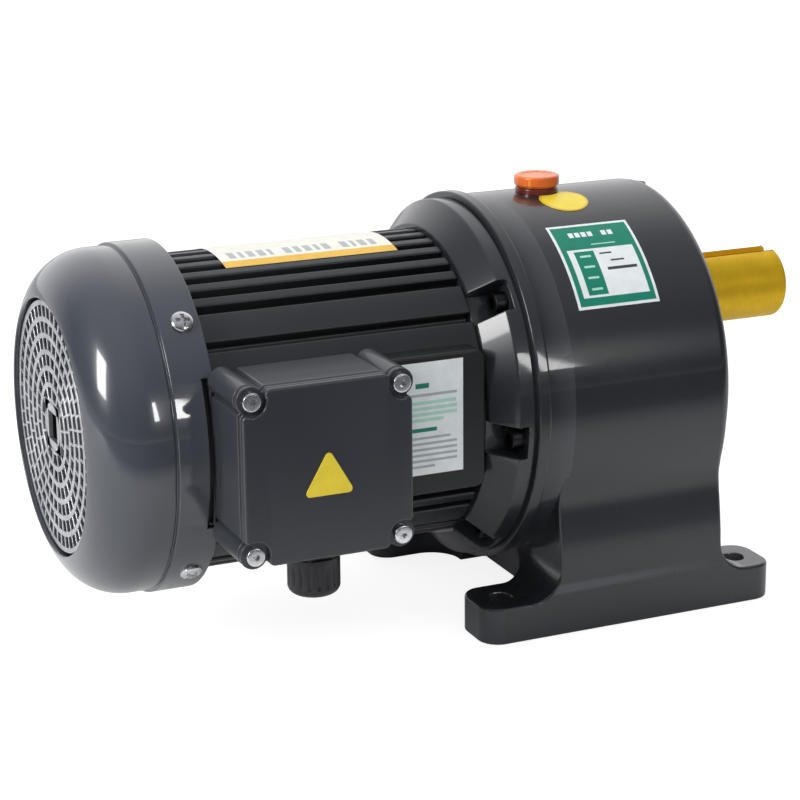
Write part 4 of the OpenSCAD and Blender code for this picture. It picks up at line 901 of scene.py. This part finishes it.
def grille_bridge(angle, r0, r1):
    """A short bar between two ring bars, a little behind their faces."""
    low = (GRILLE_BACK + 0.12, -GRILLE_BRIDGE_W / 2, AXIS_Z + r0)
    high = (GRILLE_FRONT - 0.12, GRILLE_BRIDGE_W / 2, AXIS_Z + r1)
    mesh = block(low, high)
    bm = bmesh.new()
    bm.from_mesh(mesh)
    edges = [e for e in bm.edges if abs(e.verts[0].co.z - e.verts[1].co.z) > 0.2 * MM]
    bmesh.ops.bevel(bm, geom=edges, offset=0.28 * MM, segments=2, profile=0.5, affect="EDGES")
    bm.to_mesh(mesh)
    bm.free()
    return turned(mesh, angle)


def make_grille():
    """Ring bars with short staggered bridges between them, round a square hub hole."""
    pitch = (GRILLE_R - 0.9 - GRILLE_BAR - GRILLE_HUB_R) / (GRILLE_RINGS - 1)
    radii = [GRILLE_HUB_R + pitch * i for i in range(GRILLE_RINGS)]
    parts = [grille_ring(r) for r in radii]
    for i, r in enumerate(radii[:-1]):
        count = round(2 * pi * (r + GRILLE_BAR) / GRILLE_BRIDGE_PITCH)
        for k in range(count):
            angle = (k + 0.5 * (i % 2)) * 360 / count
            parts.append(grille_bridge(angle, r + GRILLE_BAR - 0.4, r + pitch + 0.4))
    for angle in (0, 90, 180, 270):
        low = (GRILLE_BACK, -GRILLE_HUB_R - 0.6, AXIS_Z + GRILLE_HUB_HOLE)
        high = (GRILLE_FRONT, GRILLE_HUB_R + 0.6, AXIS_Z + GRILLE_HUB_R + 0.4)
        parts.append(turned(block(low, high), angle))
    housing_piece("cowl_grille_plate", joined(parts), GRILLE, "grille_paint", "cowl_grille")


def pan_screw_mesh(r, h, slot_w):
    """A domed screw head along +Z with a cross cut by a formula."""
    angles = turns(64)
    domes = 14
    bm = bmesh.new()
    rings = [add_ring(bm, [(r * cos(a), r * sin(a), 0) for a in angles])]
    for i in range(domes):
        rr = r * cos(radians(90 * (i / domes) * 0.97))
        dome = h * (0.35 + 0.65 * sqrt(max(0.0, 1 - (rr / r) ** 2)))
        points = []
        for x, y in [(rr * cos(a), rr * sin(a)) for a in angles]:
            in_cross = min(abs(x), abs(y)) < slot_w / 2 and hypot(x, y) < r * 0.62
            points.append((x, y, dome - (h * 0.55 if in_cross else 0)))
        rings.append(add_ring(bm, points))
    return capped(bm, rings)


def make_cowl_screws():
    for number, angle in enumerate(QUARTERS, 1):
        outward = Vector(ring_place(angle, 1, 0)) - Vector((0, 0, AXIS_Z))
        at = ring_place(angle, COWL_RIM_R - 0.25, COWL_SCREW_X)
        head = placed(pan_screw_mesh(*COWL_HEAD), at, outward, 0.5 + number)
        housing_piece(f"cowl_screw_{number}", head, BRIGHT_SCREW, "screw_steel", "cowl_screws")


# ---- terminal box


def box_outline(scoops):
    """The box's outline in (x, z): a rectangle with ears at its corners, or scoops round the screws."""
    half_x, half_z = BOX_LEN / 2, BOX_H / 2
    points = []
    for sx, sz in ((1, 1), (-1, 1), (-1, -1), (1, -1)):
        screw = (sx * SCREW_PITCH / 2, sz * SCREW_PITCH / 2)
        ends = [(sx * half_x, sz * (half_z - BOX_CHAMFER)), (sx * (half_x - BOX_CHAMFER), sz * half_z)]
        if sx * sz < 0:
            ends.reverse()
        hits = [edge_hit(*line, screw, EAR_R) for line in (ends, ends[::-1])]
        points += [ends[0]] + round_between(*hits, screw, outward=not scoops) + [ends[1]]
    return [(BOX_X + u, BOX_Z + v) for u, v in points]


def edge_hit(start, end, centre, r):
    """Where the line from start to end first meets the circle."""
    a, b, c = Vector(start), Vector(end), Vector(centre)
    along = (b - a).normalized()
    middle_point = (c - a).dot(along)
    off = (a + along * middle_point - c).length
    if off >= r:
        return tuple(a + along * middle_point)
    return tuple(a + along * (middle_point - sqrt(r * r - off * off)))


def round_between(start, end, centre, outward):
    """An arc from start to end round a centre, the long way out or the short way in."""
    c = Vector(centre)
    a0 = atan2(start[1] - c.y, start[0] - c.x)
    a1 = atan2(end[1] - c.y, end[0] - c.x)
    r = hypot(start[0] - c.x, start[1] - c.y)
    out_angle = atan2(c.y, c.x)
    turn = (a1 - a0) % (2 * pi)
    mid = (a0 + turn / 2 - out_angle + pi) % (2 * pi) - pi
    goes_out = abs(mid) < pi / 2
    if goes_out != outward:
        turn -= 2 * pi
    steps = max(6, ceil(abs(degrees(turn)) / 9))
    return arc(c.x, c.y, r, degrees(a0), degrees(a0 + turn), steps)


def box_piece(name, scoops, low, high, node, *rounding):
    mesh = prism_mesh(box_outline(scoops), along_y, low, high)
    # The box's slate paint, in its lighter copy that is painted light.
    housing_piece(name, mesh, BOX_SLATE_PAINTED_LIGHTER, "slate_paint", node, *rounding)


def make_terminal_box():
    box_piece("terminal_box_body", False, BOX_LOW.y, BOX_HIGH.y, "terminal_box", 0.5, 3)
    box_piece("terminal_cover_base", False, LEDGE_Y, LID_HIGH.y, "terminal_cover", 0.45, 3)
    box_piece("terminal_cover_face", True, LID_LOW.y, LEDGE_Y + 0.5, "terminal_cover", 0.9, 4)


def make_cover_screws():
    for number, (sx, sz) in enumerate(((-1, -1), (-1, 1), (1, -1), (1, 1)), 1):
        at = (BOX_X + sx * SCREW_PITCH / 2, LEDGE_Y, BOX_Z + sz * SCREW_PITCH / 2)
        head = placed(cap_screw_mesh(*COVER_HEAD), at, (0, -1, 0), number * 1.3)
        housing_piece(f"cover_screw_{number}", head, BRIGHT_SCREW, "screw_steel", "cover_screws")


def patch_outline(side, r):
    """Three round corners joined by straight sides, centred on the origin."""
    reach = side / sqrt(3) - 2 * r
    points = []
    for k in range(3):
        a = 90 + 120 * k
        cx, cy = reach * cos(radians(a)), reach * sin(radians(a))
        points += arc(cx, cy, r, a - 60, a + 60, 8)
    return points


def make_cover_patch():
    low, high = node_box("cover_patch")
    cx, cz = (low.x + high.x) / 2, BOX_Z - 3.0
    outline = [(cx + u, cz + v) for u, v in patch_outline(high.x - low.x + 1.9, 1.4)]
    mesh = prism_mesh(outline, along_y, low.y, high.y)
    housing_piece("cover_patch_film", mesh, YELLOW, "yellow_label", "cover_patch", 0.08, 2)


# ---- cable gland


def lathe_z_mesh(profile, x, y, segments, flutes, depth, flute_range):
    """Turns an (r, z) profile about a vertical axis, with grip flutes over a range of heights."""
    bm = bmesh.new()
    rings = []
    for r, z in profile:
        deep = depth if flute_range[0] <= z <= flute_range[1] else 0.0
        points = []
        for a in turns(segments):
            rr = r - deep * max(0.0, cos(flutes * a)) ** 2
            points.append((x + rr * cos(a), y + rr * sin(a), z))
        rings.append(add_ring(bm, points))
    bridge(bm, rings)
    return mesh_of(bm)


def make_gland():
    low, high = node_box("gland_cap")
    x, y = (low.x + high.x) / 2, (low.y + high.y) / 2
    r = (high.x - low.x) / 2
    bore, mouth = 4.0, 6.1
    outline = rounded([
        (bore, low.z, 0.5), (r, low.z, 3.2), (r, high.z - 2.2, 0), (r, high.z - 1.6, 0), (r, high.z, 0.5),
        (mouth, high.z, 0.2), (mouth, low.z + 5, 0), (bore, low.z + 5, 0),
    ])
    straight = [(r, low.z + 4 + i) for i in range(int(high.z - low.z - 7))]
    outline = insert_between(outline, straight)
    mesh = lathe_z_mesh(outline, x, y, 144, 18, 0.45, (low.z + 3.6, high.z - 2.4))
    housing_piece("gland_cap_nut", mesh, NYLON, "gland_nylon", "gland_cap")
    hexagon = arc(x, y, r, 0, 300, 5)
    mesh = prism_mesh(hexagon, along_z, BOX_LOW.z - 3.5, BOX_LOW.z)
    housing_piece("gland_hexagon", mesh, NYLON, "gland_nylon", "gland_body", 0.5, 3)


def insert_between(outline, extra):
    """Puts extra points of one radius into an outline, in order of height."""
    r = extra[0][0]
    at = max(i for i, (a, b) in enumerate(outline) if abs(a - r) < 1e-6 and b < extra[0][1]) + 1
    return outline[:at] + extra + outline[at:]


# ---- oil plug


def make_oil_plug():
    low, high = node_box("oil_plug")
    washer_low, washer_high = node_box("oil_plug_washer")
    x, y = (low.x + high.x) / 2, 0.0
    base = washer_high.z
    r = (high.x - low.x) / 2
    outline = rounded([
        (r - 0.9, base, 0.3), (r, base + 1.0, 0.5), (r, high.z, 0.9), (r - 2.4, high.z, 0.5),
        (r - 3.0, high.z - 0.35, 0.4), (0.01, high.z - 0.35, 0), (0.01, base, 0),
    ])
    mesh = lathe_z_mesh(outline, x, y, 180, 36, 0.05, (base + 1.2, high.z - 0.8))
    housing_piece("oil_plug_cap", mesh, ORANGE, "orange_plastic", "oil_plug")

    rim, hole = (washer_high.x - washer_low.x) / 2, 6.2
    angles = turns(96)
    bm = bmesh.new()
    rings = [
        add_ring(bm, [(x + r * cos(a), r * sin(a), base - drop) for a in angles])
        for r, drop in ((hole, 0.0), (rim - 0.9, 0.0), (rim - 0.25, 0.25), (rim, 0.7))
    ]
    seat_r = CASE_R + 0.05
    for r in (rim, hole):
        foot = [AXIS_Z + sqrt(seat_r ** 2 - (r * sin(a)) ** 2) for a in angles]
        rings.append(add_ring(bm, [(x + r * cos(a), r * sin(a), z) for a, z in zip(angles, foot)]))
    bridge(bm, rings)
    housing_piece("oil_plug_seat", mesh_of(bm), RED, "red_rubber", "oil_plug_washer")


# ---- labels


class Film:
    """A thin film of several inks. surface(u, v, lift) says where a point goes, in millimetres."""

    def __init__(self, surface, inks, step_v=1.5):
        self.surface = surface
        self.inks = inks
        self.step_v = step_v
        self.bm = bmesh.new()

    def area(self, u0, u1, v0, v1, ink, lift=FILM_T, thickness=0.02):
        """A rectangle of ink, curved with the surface."""
        count = max(1, ceil(abs(v1 - v0) / self.step_v))
        heights = [v0 + (v1 - v0) * j / count for j in range(count + 1)]
        low, high = [
            [add_ring(self.bm, [self.surface(u, v, level) for v in heights]) for u in (u0, u1)]
            for level in (lift, lift + thickness)
        ]
        faces = []
        for left, right in (low, high):
            for j in range(count):
                faces.append(self.bm.faces.new((left[j], right[j], right[j + 1], left[j + 1])))
        rims = [[left[0]] + right + left[:0:-1] for left, right in (low, high)]
        faces += bridge(self.bm, rims, closed=False)
        for face in faces:
            face.material_index = self.inks.index(ink)

    def bars(self, left, right, top, pitch, shares, above, below, ink):
        """Short lines of make-believe text, each with its share of the full width."""
        for k, share in enumerate(shares):
            v = top - k * pitch
            self.area(left, left + 0.6 + (right - left - 0.6) * share, v - below, v + above, ink)

    def finish(self, name, slot, node):
        housing_piece(name, mesh_of(self.bm), self.inks, slot, node)


def round_surface(r):
    """Wraps (u, v) round the motor axis at radius r, with v measured from the top."""
    return lambda u, v, lift: ring_place(degrees(v / r), r + lift, u)


def make_gearbox_label():
    low, high = node_box("gearbox_label")
    r = CASE_R + LABEL_LIFT
    top, bottom = (radians(angle) * r for angle in GEARBOX_LABEL_ANGLES)
    film = Film(round_surface(r), [WHITE, GREEN, DARK_INK, MINT])
    u0, u1 = low.x, high.x
    film.area(u0, u1, top, bottom, WHITE, 0, FILM_T)
    film.area(u0 + 1.1, u1 - 1.1, top + 1.1, bottom - 1.1, GREEN)
    for start, blocks in ((7.0, 4), (20.5, 2)):
        for k in range(blocks):
            u = u0 + start + k * 2.6
            film.area(u, u + 1.9, top + 4.4, top + 6.8, WHITE, 0.12)
    film.area(u0 + 14, u0 + 24, top + 10.6, top + 11.1, MINT, 0.12)
    table_top, table_bottom = top + 12.8, bottom - 4.2
    film.area(u0 + 3.2, u1 - 3.0, table_top, table_bottom, WHITE, 0.12)
    film.area(u0 + 5.6, u0 + 13.6, table_top + 1.0, table_bottom - 0.9, GREEN, 0.14)
    rows = 4
    pitch = (table_bottom - table_top - 1.9) / rows
    for k in range(rows):
        v = table_top + 1.0 + pitch * (k + 0.5)
        film.area(u0 + 7.4, u0 + 11.8, v - 0.45, v + 0.45, MINT, 0.16)
    for k, (start, end, half) in enumerate(((15.6, 20.5, 0.35), (19.0, 24.5, 0.35), (16.5, 28.6, 0.6))):
        v = table_top + 2.6 + k * 3.4
        film.area(u0 + start, u0 + end, v - half, v + half, DARK_INK, 0.14)
    film.finish("gearbox_label_film", "green_label", "gearbox_label")


def make_oil_label():
    """A round sticker with a darker rim, cut off where the oil plug stands."""
    cx, tilt = node_box("oil_label")[1].x - 9.3, radians(OIL_LABEL_ANGLE)
    r = CASE_R + LABEL_LIFT
    plug_x = middle("oil_plug").x
    bm = bmesh.new()
    rings = []
    sticker = ((0.0, 0.2), (3.0, 0.2), (6.0, 0.2), (8.4, 0.2), (8.4, 0.25), (9.15, 0.25), (9.28, 0.0))
    for radius, lift in sticker:
        points = []
        for a in turns(72):
            along = cx + radius * cos(a)
            aside = -r * sin(tilt + radius * sin(a) / r)
            reach = hypot(along - plug_x, aside)
            if reach < PLUG_CLEAR_R:
                along = plug_x + (along - plug_x) * PLUG_CLEAR_R / reach
                aside = aside * PLUG_CLEAR_R / reach
            points.append(ring_place(degrees(asin(-aside / r)), r + lift, along))
        rings.append(add_ring(bm, points))
    faces = bridge(bm, rings, closed=False)
    for face in faces[3 * len(rings[0]):]:
        face.material_index = 1
    bmesh.ops.remove_doubles(bm, verts=bm.verts, dist=1e-5)
    bm.faces.new([v for v in rings[-1] if v.is_valid])
    housing_piece("oil_label_film", mesh_of(bm), [YELLOW, YELLOW_RIM], "yellow_label", "oil_label")


def make_top_label():
    low, high = node_box("top_label")
    r = FRAME_R + LABEL_LIFT
    half = radians(TOP_LABEL_HALF_ANGLE) * r
    film = Film(round_surface(r), [CREAM, GOLD_INK, GREY_INK])
    film.area(low.x, high.x, -half, half, CREAM, 0, FILM_T)
    film.area(low.x, high.x, half - 4.6, half, GOLD_INK)
    widths = (2.6, 1.6, 2.6, 2.6, 1.4, 2.6, 2.2)
    u = low.x + 4.0
    k = 0
    while u < high.x - 6:
        width = widths[k % len(widths)]
        film.area(u, u + width, half - 12.5, half - 6.6, GREY_INK)
        u += width + 1.5 + (3.0 if k % 5 == 4 else 0)
        k += 1
    film.finish("top_label_film", "cream_label", "top_label")


def make_motor_label():
    low, high = node_box("motor_label")
    film = Film(lambda u, v, lift: (u, high.y - lift, v), [WHITE, GREEN, MINT, GREY_INK], 100)
    film.area(low.x, high.x, low.z, high.z, WHITE, 0, FILM_T)
    left, right, top = low.x + 7.6, high.x - 2.4, high.z
    film.area(left + 2.0, left + 7.2, top - 9.4, top - 7.6, GREEN)
    film.area(left, right, top - 12.4, top - 11.4, GREY_INK)
    film.bars(left, right, top - 14.6, 2.1, (0.98, 1.0, 1.0, 0.7), 0.45, 0.75, MINT)
    film.area(left, left + 10.2, top - 25.4, top - 24.0, GREEN)
    film.bars(left, right, top - 27.6, 2.1, (0.85, 1.0, 1.0, 1.0, 1.0, 0.5), 0.35, 0.55, GREY_INK)
    film.finish("motor_label_film", "white_label", "motor_label")


# ---- output shaft


def make_output_shaft():
    """The free end of the shaft, with its open keyway; the rest stays hidden inside."""
    start, end = SHAFT_LOW.x, SHAFT_HIGH.x
    step = CASE_FRONT - 14
    profile = rounded([
        (start, 0.0, 0), (start, SHAFT_CORE_R, 0.4), (step, SHAFT_CORE_R, 0), (step, SHAFT_R, 0),
        (end, SHAFT_R, 1.6), (end, CENTRE_HOLE_R, 0.3), (end - 4, CENTRE_HOLE_R, 0.3), (end - 6, 0.0, 0),
    ])
    shaft = new_piece("output_shaft_end", lathe_mesh(profile, OUTPUT_Z, 128), AMBER)
    floor = OUTPUT_Z + SHAFT_R - KEYWAY_DEPTH
    outline = [(end + 3, -KEYWAY_HALF_W), (end + 3, KEYWAY_HALF_W)]
    outline += arc(end - KEYWAY_LEN + KEYWAY_HALF_W, 0, KEYWAY_HALF_W, 90, 270, 16)
    cut(shaft, prism_mesh(outline, along_z, floor, floor + 12))
    settle(dress(shaft, 0.35, 3, 50), "output_set", "yellow_film")
    return shaft


# ---- carried CAD nodes


def look_of(node):
    for part in frame["record"]["subparts"]:
        if part["node"] == node:
            return SLOT_LOOKS[part["material_slot"]]
    return SLATE


def dress_carried_nodes():
    for name, node in frame["nodes"].items():
        node.data.materials.clear()
        node.data.materials.append(look_of(name))
        round_edges(node, 0.12, 2, 50)


# ---- floor, light, camera


# The floor: how it glows for the camera, and the Y range where its table turns from dark to pale
FLOOR_SIZE = 8
FLOOR_DROP = 0.0002
FLOOR_GLOW = (0.86, 0.86, 0.86)
FLOOR_SHADE = (0.35, 0.35, 0.35)
TABLE_RANGE = (-0.34, -0.20)
TABLE_FRONT = (0.10, 0.10, 0.11)
TABLE_BACK = (0.78, 0.78, 0.78)

# The surroundings by height, from straight down (0) to straight up (1), and the pale backdrop
SKY = (
    (0.0, (0.5, 0.5, 0.5)), (0.499, (0.4, 0.4, 0.4)), (0.52, (0.045, 0.048, 0.055)),
    (0.70, (0.10, 0.108, 0.125)), (1.0, (0.55, 0.565, 0.60)),
)
BACKDROP_TOWARD = (0.38, 0.90, 0.20)
BACKDROP_RANGE = (0.27, 0.85)
BACKDROP_LIGHT = (1.0, 1.0, 1.02)

# The photo's camera: place in metres, and yaw, pitch and roll in degrees
CAMERA_PLACE = (-0.40553, -0.7715, 0.32583)
CAMERA_TURN = (-23.68, -16.37, -0.53)
SENSOR_MM = 36.0
LENS_MM = 104.44


def make_floor():
    """A white sweep: even white to the camera, and a table lit behind the object for what it mirrors."""
    bpy.ops.mesh.primitive_plane_add(size=FLOOR_SIZE, location=(0, 0, -FLOOR_DROP))
    floor = bpy.context.object
    floor.name = "studio_floor"
    n = blank("pale_floor")
    depth = n.span(n.part(n.place, "Y"), 0.0, 1.0, *TABLE_RANGE)
    table = n.add("BsdfDiffuse", Color=n.ramp(depth, (0.0, TABLE_FRONT), (1.0, TABLE_BACK)))
    seen = n.add("AddShader")
    n.feed(seen.inputs[0], n.add("Emission", Color=FLOOR_GLOW).outputs[0])
    n.feed(seen.inputs[1], n.add("BsdfDiffuse", Color=FLOOR_SHADE).outputs[0])
    n.split_by_ray(seen.outputs[0], table.outputs[0], "OutputMaterial")
    floor.data.materials.append(n.owner)


def make_world():
    """White to the camera, and a soft studio with a pale backdrop for every other ray."""
    scene.world = bpy.data.worlds.new("studio")
    n = Nodes(scene.world)
    toward = n.coords["Generated"]
    sky = n.ramp(n.span(n.part(toward, "Z"), 0.0, 1.0, -1.0, 1.0), *SKY)
    behind = n.add("VectorMath", {"operation": "DOT_PRODUCT"}, Vector=toward)
    behind.inputs[1].default_value = BACKDROP_TOWARD
    low, high = BACKDROP_RANGE
    smooth = {"interpolation_type": "SMOOTHSTEP"}
    share = n.add("MapRange", smooth, Value=behind.outputs["Value"], From_Min=low, From_Max=high)
    around = n.add("Background", Color=n.mix(share.outputs["Result"], sky, BACKDROP_LIGHT))
    seen = n.add("Background", Color=(1.0, 1.0, 1.0))
    n.split_by_ray(seen.outputs[0], around.outputs[0], "OutputWorld")


def area_light(name, place, target, size, power, colour=(1, 1, 1), glossy=False):
    lamp = bpy.data.lights.new(name, "AREA")
    lamp.shape = "RECTANGLE"
    lamp.size, lamp.size_y = size
    lamp.energy = power
    lamp.color = colour
    light = bpy.data.objects.new(name, lamp)
    light.visible_glossy = glossy
    scene.collection.objects.link(light)
    light.location = place
    light.rotation_mode = "QUATERNION"
    light.rotation_quaternion = (Vector(target) - Vector(place)).to_track_quat("-Z", "Y")


def softbox(name, mirror, direction, distance, size, radiance):
    """A lamp whose reflection shows on the piece at the point mirror, in the given direction from it."""
    target = Vector(mirror) * MM
    place = target + Vector(direction).normalized() * distance
    area_light(name, place, target, size, radiance * pi * size[0] * size[1], glossy=True)


def make_lights():
    centre = (-0.05, 0, 0.08)
    area_light("overhead", (0.05, 0.25, 1.4), centre, (1.3, 1.0), 5.5)
    area_light("front_fill", (-0.7, -1.6, 0.9), centre, (1.2, 1.2), 9.5)
    area_light("left_fill", (-1.6, -0.3, 0.7), centre, (1.0, 1.0), 9.0, colour=(0.93, 0.96, 1.0))
    softbox("cowl_window", (-179, -59.3, 104.5), (0.292, -0.909, 0.301), 2.0, (0.075, 0.42), 22)
    softbox("flange_window", (-44, -65.0, 106.5), (0.438, -0.845, 0.29), 2.0, (0.045, 0.42), 22)
    softbox("left_window", (-196.6, -48, 114), (-0.86, -0.17, 0.44), 1.5, (0.40, 0.62), 16)


def make_camera():
    data = bpy.data.cameras.new("camera")
    data.sensor_width = SENSOR_MM
    data.lens = LENS_MM
    data.clip_end = 50
    camera = bpy.data.objects.new("camera", data)
    scene.collection.objects.link(camera)
    yaw, pitch, roll = (radians(angle) for angle in CAMERA_TURN)
    forward = Vector((-sin(yaw) * cos(pitch), cos(yaw) * cos(pitch), sin(pitch)))
    right = forward.cross(Vector((0, 0, 1))).normalized()
    up = right.cross(forward)
    side = right * cos(roll) + up * sin(roll)
    top = -right * sin(roll) + up * cos(roll)
    turn = Matrix((side, top, -forward)).transposed().to_4x4()
    camera.matrix_world = Matrix.Translation(CAMERA_PLACE) @ turn
    scene.camera = camera


# ---- build

make_camera()
make_world()
make_lights()
make_floor()
dress_carried_nodes()
make_gearcase()
make_flange_cover()
make_flange_screws()
make_motor_frame()
make_cowl()
make_grille()
make_cowl_screws()
make_terminal_box()
make_cover_screws()
make_cover_patch()
make_gland()
make_oil_plug()
make_gearbox_label()
make_oil_label()
make_top_label()
make_motor_label()
shaft_end = make_output_shaft()
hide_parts("output_shaft")
